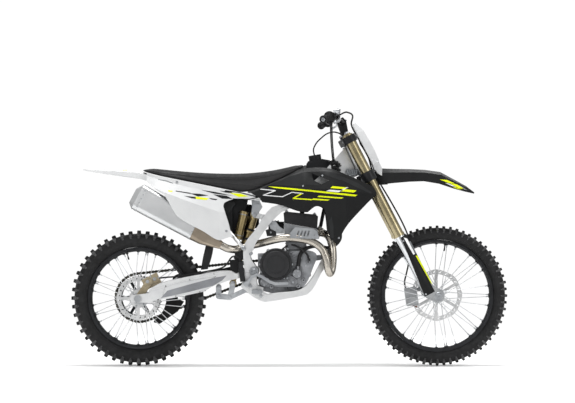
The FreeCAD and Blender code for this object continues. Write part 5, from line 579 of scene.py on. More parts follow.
def lacing(end, x, z, flange_radius, flange_y, rim_inner, valve_angle):
    """A nipple on each spoke where it meets the rim, in a pressed seat, and the valve."""
    caps, seats = Shape(), Shape()
    for side in (1, -1):
        for number in range(SPOKES_A_SIDE):
            way = 1 if number % 2 else -1
            angle = radians(360 / SPOKES_A_SIDE * (number + side / 4))
            swing = angle + way * radians(SPOKE_SWING)
            out, rim = (Vector((sin(t), 0, cos(t))) for t in (angle, swing))
            first = Vector((x, side * (flange_y + way * SPOKE_STAGGER), z)) + out * flange_radius
            last = Vector((x, side * SPOKE_STAGGER * (2 + way) / 2, z)) + rim * rim_inner
            line = (first - last).normalized()
            caps.turned(last + line * 0.5, line, [(0, 3.4), (5, 3.4), (6.5, 3), (15, 2.9), (16, 2.3)], 12)
            seats.turned(last - line * 2, line, [(0, 9.5), (2.2, 8.6), (4.4, 6.4), (5.2, 4.2)], 16)
    caps.piece("nipples_" + end, "bolt_steel", end + "_wheel")
    seats.piece("nipples_" + end + "_seats", "rim_black", end + "_wheel")
    line = Vector((sin(radians(valve_angle)), 0, cos(radians(valve_angle))))
    foot = Vector((x, 0, z)) + line * rim_inner
    valve = Shape()
    stem = [(-1, 6.5), (1.5, 6.5), (3, 5.6), (3.2, 3), (20, 3), (20.4, 4.3), (32, 4), (34, 2.8)]
    valve.turned(foot, -line, stem, 16)
    valve.turned(foot - line * 1.5, -line, [(0, 7.5), (3.6, 7.5), (4.2, 6.8)], 6)
    valve.piece("valve_" + end, "bar_black", end + "_wheel")


lacing("rear", 0, REAR_RADIUS, 47, 34, 232.5, -15)
lacing("front", WHEELBASE, FRONT_RADIUS, 36, 30, 259.5, 9)


def ring_of_bolts(shape, x, y, z, radius, count, axis, size, height, first=0, kind=Shape.bolt):
    """Screws set round a circle."""
    for angle in circle(count, radians(first)):
        kind(shape, (x + radius * sin(angle), y, z + radius * cos(angle)), axis, size, height)


wheel_bolts = Shape()
ring_of_bolts(wheel_bolts, 0, -63.8, REAR_RADIUS, 37.5, 6, RIGHT, 5, 4.5, 15, Shape.socket)
ring_of_bolts(wheel_bolts, 0, 78.2, REAR_RADIUS, 38.5, 6, LEFT, 5.2, 5.5)
wheel_bolts.piece("wheel_bolts_rear", "bolt_steel", "rear_wheel")
wheel_bolts = Shape()
ring_of_bolts(wheel_bolts, WHEELBASE, 63.9, FRONT_RADIUS, 28.5, 6, LEFT, 4.4, 4, 10, Shape.socket)
wheel_bolts.piece("wheel_bolts_front", "bolt_steel", "front_wheel")


# Seat

# Share of the seat's length, of its height below and above, and of its half width
SEAT_SECTIONS = [
    (0, 0.77, 0.776, 0.45), (0.03, 0.69, 0.826, 0.8), (0.118, 0.565, 0.782, 0.98),
    (0.239, 0.429, 0.714, 1), (0.362, 0.293, 0.66, 1), (0.483, 0.156, 0.633, 0.98),
    (0.606, 0.02, 0.633, 0.94), (0.679, 0.054, 0.653, 0.88), (0.788, 0.29, 0.721, 0.76),
    (0.88, 0.52, 0.823, 0.66), (0.972, 0.8, 0.952, 0.56), (1, 0.93, 0.986, 0.5),
]
SEAT_BACK = 13.0
SEAT_LENGTH = 815.0
SEAT_FOOT = 865
SEAT_RISE = 147
SEAT_HALF_WIDTH = 84
SIDE_SHARE = 0.24
COVER_SHARE = 0.26


def seat_section(share):
    """Lower height, upper height and half width of the seat at a share of its length."""
    a, b = next(pair for pair in zip(SEAT_SECTIONS, SEAT_SECTIONS[1:]) if share <= pair[1][0])
    t = (share - a[0]) / (b[0] - a[0])
    low, high, width = (a[k] + (b[k] - a[k]) * t for k in (1, 2, 3))
    return SEAT_FOOT + SEAT_RISE * low, SEAT_FOOT + SEAT_RISE * high, SEAT_HALF_WIDTH * width


def seat_share(x):
    """The share of the seat's length at a place along the bike."""
    return min(1, max(0, (x - SEAT_BACK) / SEAT_LENGTH))


def seat_smooth(share):
    """The same, averaged over a short stretch so that the cover has no creases across it."""
    steps = (-0.045, -0.03, -0.015, 0, 0.015, 0.03, 0.045)
    sets = [seat_section(min(1, max(0, share + d))) for d in steps]
    return seat_section(share)[0], sum(s[1] for s in sets) / len(sets), sum(s[2] for s in sets) / len(sets)


def seat_ring(share, grow):
    """A cross-section: flat foot, sides that lean in, a crowned top."""
    low, high, width = seat_smooth(share)
    rise = max(high - low, 3)
    side = [
        (width - width * 0.10 * t + 2.2 * sin(pi * t) + grow, low + rise * (1 - SIDE_SHARE) * t)
        for t in (k / 8 for k in range(1, 8))
    ]
    points = [((k / 4 - 1) * (width - 4), low + 0.4) for k in range(9)] + side
    for k in range(21):
        angle = pi * k / 20
        edge = abs(cos(angle)) ** 0.62 * copysign(1, cos(angle))
        top = high - rise * SIDE_SHARE * (1 - sin(angle) ** 0.72) + grow
        points.append((edge * (width * 0.90 + grow), top))
    points += [(-y, z) for y, z in reversed(side)]
    return [(SEAT_BACK + SEAT_LENGTH * share, y, z) for y, z in points]


def swelled(cushion):
    """The cushion's form as cloth under pressure over its fixed foot."""
    remesh = cushion.modifiers.new("remesh", "REMESH")
    remesh.mode = "VOXEL"
    remesh.voxel_size = 0.006
    graph = bpy.context.evaluated_depsgraph_get()
    cushion.data = bpy.data.meshes.new_from_object(cushion.evaluated_get(graph))
    cushion.modifiers.clear()
    rest = [v.co.copy() for v in cushion.data.vertices]
    pinned = cushion.vertex_groups.new(name="foot")
    for number, spot in enumerate(on_bike(co) for co in rest):
        share = seat_share(spot.x)
        if spot.z < seat_smooth(share)[0] + 7 or share < 0.012 or share > 0.985:
            pinned.add([number], 1, "REPLACE")
    cloth = cushion.modifiers.new("cloth", "CLOTH").settings
    for key, value in {
        "quality": 5, "mass": 0.3, "tension_stiffness": 20, "compression_stiffness": 20, "shear_stiffness": 8,
        "bending_stiffness": 0.6, "use_pressure": True, "uniform_pressure_force": 4, "vertex_group_mass": "foot",
    }.items():
        setattr(cloth, key, value)
    cloth.effector_weights.gravity = 0.0
    for moment in range(1, 21):
        bpy.context.scene.frame_set(moment)
    graph = bpy.context.evaluated_depsgraph_get()
    form = bpy.data.meshes.new_from_object(cushion.evaluated_get(graph))
    farthest = 0.005
    for vertex, start in zip(form.vertices, rest):
        move = vertex.co - start
        if move.length > farthest:
            vertex.co = start + move * (farthest / move.length)
    cushion.modifiers.clear()
    cushion.vertex_groups.clear()
    cushion.data = form
    bpy.context.scene.frame_set(1)
    form.materials.clear()
    form.materials.append(FINISHES["seat_cover"])
    form.polygons.foreach_set("use_smooth", [True] * len(form.polygons))
    relax = cushion.modifiers.new("relax", "SMOOTH")
    relax.factor = 0.5
    relax.iterations = 4
    soft = cushion.modifiers.new("subdivision", "SUBSURF")
    soft.levels = soft.render_levels = 1


shape = Shape()
shape.grid([seat_ring(0.004 + 0.992 * k / 90, -2.2) for k in range(91)], True)
cushion = shape.piece("seat_cushion", "seat_cover", replaced="seat", smooth=50)
swelled(cushion)
cushion.data.materials.append(FINISHES["seat_side"])
for polygon in cushion.data.polygons:
    middle = on_bike(polygon.center)
    low, high, width = seat_smooth(seat_share(middle.x))
    if middle.z < high - (high - low) * COVER_SHARE - 1.5:
        polygon.material_index = 1

cushion_tree = BVHTree.FromObject(cushion, bpy.context.evaluated_depsgraph_get())


def on_cushion(x, y, z):
    """The nearest point of the cushion, with the surface's direction there."""
    spot, normal, _, _ = cushion_tree.find_nearest(at(x, y, z))
    return on_bike(spot), normal


def seam(shape, points, radius, lift):
    """A cord that lies along the cushion through the points."""
    spots = [on_cushion(*point) for point in smooth_line(points, 6)]
    shape.tube([spot + normal * lift for spot, normal in spots], radius, 8)


seams = Shape()
stitches = Shape()
for side in (1, -1):
    edge = []
    for k in range(2, 62):
        low, high, width = seat_smooth(k / 63)
        x = SEAT_BACK + SEAT_LENGTH * k / 63
        edge.append((x, side * (width * 0.93 + 6), high - (high - low) * COVER_SHARE))
    seam(seams, edge, 1.3, 0.2)
    crease = ((380, 92, 919), (456, 90, 916.5), (530, 86, 909), (596, 80, 899), (640, 76, 892))
    seam(seams, [(x, side * y, z) for x, y, z in crease], 0.9, 0.1)
    for share in (0.035 + 0.93 * k / 150 for k in range(150)):
        low, high, width = seat_smooth(share)
        if high - low < 18:
            continue
        x, y, z = SEAT_BACK + SEAT_LENGTH * share, side * (width * 0.90 + 4), high - (high - low) * 0.20
        spot, normal = on_cushion(x, y, z)
        ahead = on_cushion(x + 3.4, y, z)[0]
        stitches.tube([spot + normal * 0.05, (spot + ahead) / 2 + normal * 0.5, ahead + normal * 0.05], 0.4, 5)
seams.piece("seat_seams", "seat_side", smooth=60)
stitches.piece("seat_stitches", "thread", smooth=60)


# Fittings on the surface of a CAD node

TREES = {}


def ray_to(node, origin, direction):
    """Where a line from a point meets a node, with the surface's direction there, if it does."""
    data = nodes[node].data
    if node not in TREES:
        faces = [tuple(face.vertices) for face in data.polygons]
        TREES[node] = BVHTree.FromPolygons([v.co for v in data.vertices], faces)
    spot, normal, _, _ = TREES[node].ray_cast(at(*origin), Vector(direction).normalized())
    return [] if spot is None else [(on_bike(spot), normal)]


def on_side(node, side, places):
    """The surface of a node as met from the bike's left (1) or right (-1) at places in x and z."""
    return [found for x, z in places for found in ray_to(node, (x, side * 600, z), (0, -side, 0))]


def screws(shape, node, side, places, size, height, level=False):
    """Screws on a node's side: round ones square to the surface, or level hexagon bolts."""
    for spot, normal in on_side(node, side, places):
        axis = Vector((0, side, 0)) if level else normal
        (shape.bolt if level else shape.socket)(spot - axis * 0.4, axis, size, height)


# Stripes and colours on the bodywork

def seen(y, *numbers):
    """Columns and rows of the photograph's frame as the bike's x and z at a depth y."""
    near = (CAMERA_AWAY + y) / CAMERA_AWAY * PIXEL
    return [
        (CAMERA_X + (column - MIDDLE_COLUMN) * near, CAMERA_Z + (MIDDLE_ROW - row) * near)
        for column, row in zip(numbers[::2], numbers[1::2])
    ]


class Skin:
    """The outward faces of a CAD node on one side, to cut stripes from."""

    def __init__(self, node, side, facing):
        self.form = bmesh.new()
        self.form.from_mesh(nodes[node].data)
        bmesh.ops.remove_doubles(self.form, verts=self.form.verts, dist=1e-6)
        self.form.normal_update()
        wrong = [f for f in self.form.faces if f.normal.y * side < facing or f.calc_center_median().y * side < 0]
        bmesh.ops.delete(self.form, geom=wrong, context="FACES")

    def patch(self, shape, outline, lift):
        """The part of the skin inside a convex outline in x and z, raised by lift."""
        low = at(min(p[0] for p in outline), 0, min(p[1] for p in outline))
        high = at(max(p[0] for p in outline), 0, max(p[1] for p in outline))
        form = self.form.copy()
        far = []
        for face in form.faces:
            xs = [v.co.x for v in face.verts]
            zs = [v.co.z for v in face.verts]
            if max(xs) < low.x or min(xs) > high.x or max(zs) < low.z or min(zs) > high.z:
                far.append(face)
        bmesh.ops.delete(form, geom=far, context="FACES")
        sides = list(zip(outline, outline[1:] + outline[:1]))
        way = 1 if sum(a[0] * b[1] - b[0] * a[1] for a, b in sides) > 0 else -1
        for a, b in sides:
            outward = Vector(((b[1] - a[1]) * way, 0, -(b[0] - a[0]) * way)).normalized()
            bmesh.ops.bisect_plane(
                form, geom=form.verts[:] + form.edges[:] + form.faces[:], plane_co=at(a[0], 0, a[1]),
                plane_no=outward, clear_outer=True,
            )
        form.normal_update()
        places = {}
        for vertex in form.verts:
            places[vertex] = len(shape.points)
            shape.points.append(on_bike(vertex.co + vertex.normal * (lift / 1000)))
        shape.faces += [tuple(places[v] for v in face.verts) for face in form.faces]
        form.free()


def stroke(points, width):
    """A line of some width as one four-sided outline for each of its runs."""
    outlines = []
    for a, b in zip(points, points[1:]):
        a, b = Vector(a), Vector(b)
        along = (b - a).normalized()
        across = Vector((-along.y, along.x)) * (width / 2)
        a, b = a - along * width * 0.3, b + along * width * 0.3
        outlines.append([tuple(p) for p in (a + across, b + across, b - across, a - across)])
    return outlines


def dress(node, body, depth, facing, lift, kinds):
    """Marks on both sides of a node; each kind has a piece's name, a finish, outlines, and wide lines."""
    shapes = [Shape() for _ in kinds]
    for side in (-1, 1):
        skin = Skin(node, side, facing)
        for shape, (name, finish, outlines, *lines) in zip(shapes, kinds):
            for outline in outlines:
                skin.patch(shape, seen(-depth, *outline), lift)
            for width, *line in lines:
                for outline in stroke(seen(-depth, *line), width):
                    skin.patch(shape, outline, lift)
        skin.form.free()
    for shape, (name, finish, outlines, *lines) in zip(shapes, kinds):
        shape.piece(name, finish, body, smooth=60)


# Outlines by their columns and rows in the photograph's frame; a line starts with its width in millimetres
dress("shrouds", "chassis", 170, 0.12, 0.6, [
    ("shroud_stripes_yellow", "mark_yellow", [
        (268, 186.1, 285, 187.5, 285, 189, 274, 187.7), (285, 187.5, 308, 189.7, 308, 191.3, 285, 189),
        (308, 189.7, 330, 192, 330, 193.7, 308, 191.3), (330, 192, 357.5, 194.9, 355, 196.5, 330, 193.7),
        (332.5, 186.2, 347, 187.5, 343, 189.1, 330.5, 188),
        (344.5, 189.2, 356.5, 190.6, 353.5, 192.6, 341, 191.4),
        (319, 195.6, 343.5, 197.5, 341.2, 198.7, 317.4, 196.9),
        (313.5, 198.3, 330, 199.6, 327.4, 200.7, 311.6, 199.7),
    ], (5.75, 302, 193.5, 293, 198.3, 312, 199.6)),
    ("shroud_stripes_white", "mark_white", [
        (346.5, 187.3, 348.5, 187.5, 343, 190, 341.5, 189.9),
        (330, 189.7, 341.5, 190.7, 338.5, 192.3, 326, 191.1),
    ], (4, 260, 188.9, 275.5, 190.5, 263, 195.1, 282.5, 196.6, 292, 192.2, 303, 193.4)),
])
dress("side_panels", "chassis", 140, 0.12, 0.6, [
    ("panel_stripes_black", "mark_black", [
        (175.5, 190.6, 190, 192.7, 192, 194.2, 175.8, 191.5),
        (190, 193.4, 199, 193.7, 208.5, 195.4, 198, 196.6),
        (184, 195.9, 196, 196.9, 196, 198.9, 191.5, 198.3),
        (200.5, 189.9, 215, 191.9, 232, 195.6, 214, 193.6),
        (209, 198, 217.5, 199.2, 216, 200.2, 211, 199.4),
        (213, 194.4, 226, 195.6, 233, 199, 222, 198.6),
        (219, 190.6, 231, 191.6, 232.5, 193, 226, 192.6),
    ], (5, 225, 190.6, 240, 192.4, 258.2, 197.2, 249, 199.2, 233, 198.8)),
    ("panel_stripes_yellow", "mark_yellow", [
        (194.5, 196.4, 209, 198.4, 206, 200, 196, 199),
        (168, 190.2, 173, 190.9, 172, 192, 168.6, 191.6),
        (229.5, 192.8, 240.5, 193.7, 248.5, 196.3, 238.5, 196.9),
    ]),
    ("panel_stripes_grey", "mark_grey", [], (3.5, 158, 179.4, 166, 180.8, 172.5, 183.2)),
])
dress("fork_guards", "steering", 140, 0.12, 0.6, [
    ("guard_stripes_white", "mark_white", [(403.6, 237.6, 407.2, 238.6, 415.2, 254, 413.2, 254.6)]),
    ("guard_stripes_yellow", "mark_yellow", [
        (415.6, 255.8, 417.4, 255.6, 433.4, 284, 431.8, 284.6),
        (419.6, 257, 420.5, 256.7, 431.5, 276.4, 430.9, 277),
    ]),
    ("guard_stripes_grey", "mark_grey", [(409, 241.5, 410.4, 241.1, 417.2, 253.8, 416.2, 254.2)]),
])
dress("front_fender", "steering", 70, 0.02, 0.6, [
    ("nose_stripes_yellow", "mark_yellow", [
        (439.5, 179.6, 446.5, 179.9, 455, 183.6, 449, 183.2),
        (449.5, 183.4, 456.5, 184.4, 464.5, 188.8, 459, 188.4),
        (452.5, 187, 455.5, 187.4, 461, 189.6, 457, 189.2),
    ]),
    ("nose_stripes_white", "mark_white", [(445, 183, 448.5, 183.6, 456, 187, 452, 186.2)]),
    ("nose_stripes_grey", "mark_grey", [(458, 184.8, 461, 186.2, 467.5, 190.2, 464.5, 189.6)]),
])
dress("rear_fender", "chassis", 60, 0.02, 0.6, [
    ("tail_stripes_yellow", "mark_yellow", [(122, 169.6, 126.5, 169.7, 126, 170.5, 121.5, 170.4)]),
])


# Roller chain

CHAIN_PITCH = 15.875
CHAIN_LINKS = 116
CHAIN_Y = 75.0
REAR_SPROCKET = Vector((0, REAR_RADIUS))
FRONT_SPROCKET = Vector((653, 497))
REAR_TEETH = 48
FRONT_TEETH = 13
PLATE_WAIST = 5.0
PLATE_END = 7.6
PLATE_THICKNESS = 1.8


def chain_line():
    """Evenly spaced pins round both sprockets."""
    big, small = (CHAIN_PITCH / 2 / sin(pi / teeth) for teeth in (REAR_TEETH, FRONT_TEETH))
    line = FRONT_SPROCKET - REAR_SPROCKET
    slope = atan2(line.y, line.x)
    taper = asin((big - small) / line.length)
    top = slope + pi / 2 - taper
    bottom = slope - pi / 2 + taper
    turns = [(REAR_SPROCKET, big, top)]
    turns += [(FRONT_SPROCKET, small, top + (bottom - top) * k / 60) for k in range(61)]
    turns += [(REAR_SPROCKET, big, bottom - (2 * pi - (top - bottom)) * k / 180) for k in range(181)]
    points = [centre + Vector((cos(angle), sin(angle))) * reach for centre, reach, angle in turns]
    lengths = [0]
    for a, b in zip(points, points[1:]):
        lengths.append(lengths[-1] + (b - a).length)
    pins = []
    step = 0
    for k in range(CHAIN_LINKS):
        want = lengths[-1] * k / CHAIN_LINKS
        while lengths[step + 1] < want:
            step += 1
        t = (want - lengths[step]) / (lengths[step + 1] - lengths[step])
        pins.append(points[step].lerp(points[step + 1], t))
    return pins


def link_plate(shape, a, b, reach, side):
    """A waisted link plate round two pins, at some reach to one side of the chain's middle."""
    along = (b - a).normalized()
    across = Vector((-along.y, along.x))
    half = (b - a).length / 2
    middle = (a + b) / 2
    outline = []
    for end in (1, -1):
        for angle in (pi / 2 - pi * k / 6 for k in range(7)):
            out = along * (half + PLATE_END * cos(angle)) + across * PLATE_END * sin(angle)
            outline.append(middle + out * end)
        outline.append(middle - across * end * PLATE_WAIST)
    inner = CHAIN_Y + side * reach
    shape.prism([tuple(p) for p in outline], inner, inner + side * PLATE_THICKNESS, 0.4)


pins = chain_line()
plates = Shape()
rollers = Shape()
for number, (pin, after) in enumerate(zip(pins, pins[1:] + pins[:1])):
    rollers.turned((pin.x, CHAIN_Y - 5, pin.y), LEFT, [(0, 5), (10, 5)], 14)
    for side in (1, -1):
        link_plate(plates, pin, after, 5.2 if number % 2 else 7.2, side)
        rollers.turned((pin.x, CHAIN_Y + side * 7, pin.y), (0, side, 0), [(0, 2.5), (2.4, 2.5), (2.8, 1.9)], 10)
plates.piece("chain_plates", "chain_steel", replaced="chain")
rollers.piece("chain_rollers", "chain_steel")


# Engine, frame and exhaust fittings

bolts = Shape()
ring_of_bolts(bolts, 686, -117.6, 509, 77.6, 6, RIGHT, 5, 6, 30)
ring_of_bolts(bolts, 788.7, 103.6, 471.5, 66.7, 5, LEFT, 5, 6, 36)
ring_of_bolts(bolts, 790, -113.8, 462, 15.5, 3, RIGHT, 3.8, 4, 20)
ring_of_bolts(bolts, 626, -99.8, 420, 15, 3, RIGHT, 3.4, 4, 60)
case_places = {
    -1: [(742, 440), (836, 500), (850, 540), (720, 415), (772, 420), (610, 540), (612, 470)],
    1: [(842, 505), (850, 545), (706, 405), (640, 400), (760, 395)],
}
for side, places in case_places.items():
    screws(bolts, "crankcase", side, places, 4.4, 5, True)
    screws(bolts, "cylinder", side, [(745, 585), (828, 585), (745, 648), (838, 650)], 5, 6, True)
bolts.piece("engine_bolts")

lid = Shape()
frame_bolts = Shape()
link = Shape()
trim = Shape()
for spot, normal in on_side("heat_guard", -1, [(757, 656)]):
    trim.socket(spot - Vector(RIGHT) * 0.4, RIGHT, 4.2, 3.5)
for side in (1, -1):
    way = Vector((0, side, 0))
    for x, z in ((738, 758), (878, 735)):
        for spot, normal in ray_to("head_cover", (x, side * 46, z + 60), (0, 0, -1)):
            lid.turned(spot - normal * 0.4, normal, [(0, 9), (3, 9), (4, 8)], 20)
            lid.bolt(spot + normal * 3.2, normal, 4.6, 6)
    for spot, normal in on_side("frame", side, [(577, 475)]):
        frame_bolts.turned(spot, way, [(0, 8), (0, 22), (2.1, 22), (3, 21.5), (3, 8)], 28, False)
        nut = [(0, 14), (8, 14), (9.5, 12.5), (9.5, 7)]
        frame_bolts.turned(spot + way * 2.6, way, nut, 6, False, 0.2)
        frame_bolts.turned(spot + way * 2.6, way, [(0, 7.2), (6, 7.2), (6.5, 6)], 18)
    screws(frame_bolts, "subframe", side, [(524, 590)], 8, 9, True)
    screws(frame_bolts, "subframe", side, [(700, 820)], 6.5, 7, True)
    screws(frame_bolts, "frame", side, [(560, 402), (580, 372), (612, 352), (560, 560), (900, 545)], 6, 7, True)
    for x, z in ((398.6, 394), (398.6, 347), (456, 342), (536, 379), (470, 412)):
        link.bolt((x, side * 45.8, z), way, 7.5, 8)
    screws(trim, "side_panels", side, seen(-150, 176.5, 182, 226.5, 231), 6.2, 3.2)
    places = seen(-120, 303, 186) + seen(-190, 339, 238) + seen(-150, 322.5, 175.5)
    screws(trim, "shrouds", side, places, 5, 3)
    screws(trim, "fork_guards", side, seen(-150, 426, 294.2, 403.5, 241), 4.6, 3.2)
lid.piece("head_cover_bolts")
frame_bolts.piece("frame_bolts")
link.piece("linkage_bolts")
trim.piece("panel_screws")

plug = Shape()
foot = Vector((809.5, 0, 700))
plug.turned(foot, (0.1, 0, 1), [(0, 9), (60, 9), (62, 12), (72, 12), (76, 9), (96, 8), (98, 6)], 18)
lead = ((9.6, 0, 96), (14, -2, 116), (36, -6, 134), (80, -10, 138))
plug.tube(smooth_line([foot + Vector(p) for p in lead], 6), 3.6, 10)
plug.piece("plug_cap", "rubber_black")


# The coil spring and the reservoir

def coil(shape, start, end, radius, wire, turns, sides):
    """A round wire wound from one point to another, its end turns closed."""
    axis = (end - start).normalized()
    across = axis.orthogonal().normalized()
    up = axis.cross(across)
    steps = int(turns * 22)
    line = []
    for share in (k / steps for k in range(steps + 1)):
        height = wire + (share + 0.016 * sin(2 * pi * share)) * ((end - start).length - 2 * wire)
        angle = 2 * pi * turns * share
        line.append(start + axis * height + (across * cos(angle) + up * sin(angle)) * radius)
    shape.tube(line, wire, sides)


shock_top = Vector((577, 0, 756))
shock_foot = Vector((470, 0, 412))
spring = Shape()
coil(spring, shock_top.lerp(shock_foot, 0.265), shock_top.lerp(shock_foot, 0.835), 30, 5.6, 7.2, 12)
spring.piece("shock_coil", "spring_black", replaced="shock_spring")
reservoir_top = shock_top + Vector((-50, -50, 16))
reservoir_foot = shock_top + Vector((-81, -50, -120))
way = (reservoir_foot - reservoir_top).normalized()
rings = Shape()
for share in (0.10, 0.86):
    spot = reservoir_top.lerp(reservoir_foot, share)
    rings.turned(spot, way, [(0, 22), (0.6, 23), (4.4, 23), (5, 22)], 32, False)
rings.turned(reservoir_foot - way * 0.4, way, [(0, 17), (3, 17), (4, 16), (4, 6), (2, 5)], 28)
rings.piece("reservoir_rings")
collar = Shape()
grooved = [(0, 35), (1.5, 36.5), (8.5, 36.5), (10, 35)]
collar.turned(shock_top.lerp(shock_foot, 0.205), shock_foot - shock_top, grooved, 12)
collar.piece("spring_collar", "bar_black")

# Exhaust: weld beads, springs, rivets and the outlet

beads = Shape()
for a, b, share in (
    ((954, -60, 640), (968, -86, 590), 0.5), ((970, -92, 530), (964, -96, 480), 0.4),
    ((938, -130, 530), (916, -128, 588), 0.5), ((916, -128, 588), (868, -126, 622), 0.6),
    ((800, -126, 638), (740, -126, 642), 0.5),
):
    a, b = Vector(a), Vector(b)
    beads.turned(a.lerp(b, share), b - a, [(-1.8, 18.6), (-0.9, 19.7), (0.9, 19.7), (1.8, 18.6)], 32, False)
beads.turned((899, -19, 667), (28, -6, -6), [(-4, 29), (0, 29.5), (5, 29.5), (6, 28), (6, 18)], 32, False)
for a, b in (((893, -49, 674), (923, -53, 664)), ((900, 8, 690), (928, 0, 682))):
    a, b = Vector(a), Vector(b)
    coil(beads, a.lerp(b, 0.2), a.lerp(b, 0.8), 3.4, 0.8, 9, 6)
    beads.tube([a, a.lerp(b, 0.22)], 0.8, 6)
    beads.tube([a.lerp(b, 0.78), b], 0.8, 6)
beads.piece("pipe_beads", "pipe_steel")

SLEEVE_LENGTH = 311
SLEEVE_TAPER = 0.10
HALF_WIDE = 49
HALF_TALL = 68
ahead = Vector((275.6, 0, -144.2)).normalized()
upward = Vector((144.2, 0, 275.6)).normalized()
low_rear = Vector((46.6, -116, 896.7)) - upward * 2 * HALF_TALL


def silencer_spot(distance, u, v):
    """A point of the silencer's sleeve: distance from its rear face, u across and v up in its section."""
    lift = HALF_TALL * (1 - SLEEVE_TAPER * distance / SLEEVE_LENGTH)
    return low_rear + ahead * distance + upward * (lift + v) + Vector((0, u, 0))


def silencer_loop(distance, grow):
    """The sleeve's rounded section, standing proud by grow."""
    shrink = 1 - SLEEVE_TAPER * distance / SLEEVE_LENGTH
    a, b, c = HALF_WIDE * shrink + grow, HALF_TALL * shrink + grow, 30 * shrink
    points = []
    for su, sv, first in ((1, 1, 0), (-1, 1, 90), (-1, -1, 180), (1, -1, 270)):
        for angle in (radians(first + 15 * k) for k in range(7)):
            u, v = su * (a - c) + c * cos(angle), sv * (b - c) + c * sin(angle)
            points.append(silencer_spot(distance, u, v))
    return points


rivets = Shape()
bands = Shape()
outlet = Shape()
core = Shape()
for start, end in ((-0.5, 11), (296, 310)):
    bands.grid([silencer_loop(*edge) for edge in ((start, 0.1), (start + 0.8, 1), (end - 0.8, 1), (end, 0.1))])
for distance in (5.5, 303):
    shrink = 1 - SLEEVE_TAPER * distance / SLEEVE_LENGTH
    for v in (-44, -22, 0, 22, 44):
        for side in (1, -1):
            spot = silencer_spot(distance, side * (HALF_WIDE * shrink + 0.7), v * shrink)
            rivets.turned(spot, (0, side, 0), [(0, 3), (0.9, 2.7), (1.6, 1.6)], 12)
mouth = low_rear + upward * 61 - ahead * 36
lips = [(26, 20.6), (2, 20.6), (-1.5, 21.6), (-2.2, 20.6), (-1.5, 18.6), (26, 18.2)]
outlet.turned(mouth, ahead, lips, 36, False)
core.turned(mouth + ahead * 25, ahead, [(0, 18.5), (0.5, 0.1)], 36)
bands.piece("silencer_bands", "silencer_metal")
rivets.piece("silencer_rivets")
outlet.piece("silencer_outlet", "silencer_metal")
core.piece("silencer_core", "cover_black")

# The tank cover under the seat's nose, and the airbox open round the shock's reservoir

cover = Shape()
rows = []
for k in range(25):
    x = 545 + 297 * k / 24
    low, high, width = seat_smooth(seat_share(x))
    top = low + 7 - 8 * max(0, k - 20) / 4
    foot = top - 46 - 10 * sin(pi * k / 24)
    half = max(width - 5, 38)
    wide = 86 - 6 * k / 24
    outside = [(-wide, foot), (-(half + wide) / 2 - 4, (top + foot) / 2), (-half, top - 3), (-half + 5, top)]
    inside = [(wide - 3, foot), (half - 6, top - 6)]
    profile = outside + [(-y, z) for y, z in reversed(outside)] + inside + [(-y, z) for y, z in reversed(inside)]
    rows.append([(x, y, z) for y, z in profile])
cover.grid(rows, True)
cover.piece("tank_cover", "plastic_black", smooth=40)

box = Shape()
box.prism([(300, 700), (470, 640), (470, 838), (430, 836), (300, 858)], 50, -50, 3)
box.prism([(466, 641), (508, 650), (520, 720), (545, 830), (500, 840), (466, 838)], 50, -25, 2)
box.prism([(500, 655), (600, 694), (600, 780), (560, 806), (500, 812)], 42, 80, 3)
box.piece("airbox_shell", "airbox_plastic", replaced="airbox", smooth=30)

FLAP = (206.8, 243.5, 210.8, 243.5, 209.3, 256, 208.2, 268.8, 201.5, 269.5, 203.6, 257)
# Flat pieces: the depth at which the outline is seen, the piece's two sides, its chamfer and its outline
for name, body, finish, depth, low, high, chamfer, outline in (
    ("airbox_cheek", "chassis", "plastic_facet", -50, -50, -53, 1.5,
     (222.5, 206, 224, 202.5, 233, 201, 236, 203, 229, 213, 225, 214)),
    ("shock_bracket", "chassis", "machined_metal", -30, -24, -30, 1.2,
     (251.5, 200, 259.5, 200.5, 262.5, 207, 258.5, 213, 254.5, 218.5, 251, 214.5, 252, 207)),
    ("cylinder_guard", "chassis", "plastic_black", -104, -92, -104, 2,
     (229.5, 260, 240.5, 259, 242.5, 262, 241, 271.5, 236, 273.5, 230.5, 270)),
    ("cylinder_foot", "chassis", "rubber_black", -98, -70, -98, 4,
     (234.5, 250.5, 242.5, 250.5, 243.5, 259.5, 235, 259.8)),
    ("front_pad", "steering", "pad_brown", 54, 60, 54, 1,
     (412.2, 294.5, 416.5, 293.8, 418.2, 300.5, 416.8, 307.6, 412.6, 306)),
    ("flap_edge_right", "chassis", "rubber_black", 48, -44, -48.5, 1, FLAP),
    ("flap_edge_left", "chassis", "rubber_black", 48, 44, 48.5, 1, FLAP),
    ("throttle_bracket", "chassis", "machined_metal", -58, -52, -58, 1.2,
     (268.5, 223.5, 273, 220.5, 276, 221.5, 279.5, 226.5, 284, 229.5, 284, 233.5, 276.5, 233.5, 270.5, 229.5)),
    ("throttle_motor", "chassis", "cover_black", -66, -50, -66, 2.5,
     (265.5, 230, 270, 228.6, 276, 231.5, 276.5, 236, 267, 236.2)),
    ("fender_mount", "steering", "plastic_black", -46, 46, -46, 3,
     (370.5, 168, 378.8, 175.3, 383.5, 176, 388, 184.3, 379.5, 184.8, 374, 178.5)),
    ("plate_bracket", "steering", "plastic_black", -52, 26, -52, 3,
     (358.5, 136, 362.5, 140.5, 366.5, 146, 373, 149, 375.5, 154, 371.5, 157, 365.5, 152, 360, 143.5)),
):
    shape = Shape()
    shape.prism(seen(depth, *outline), low, high, chamfer)
    shape.piece(name, finish, body, smooth=30)

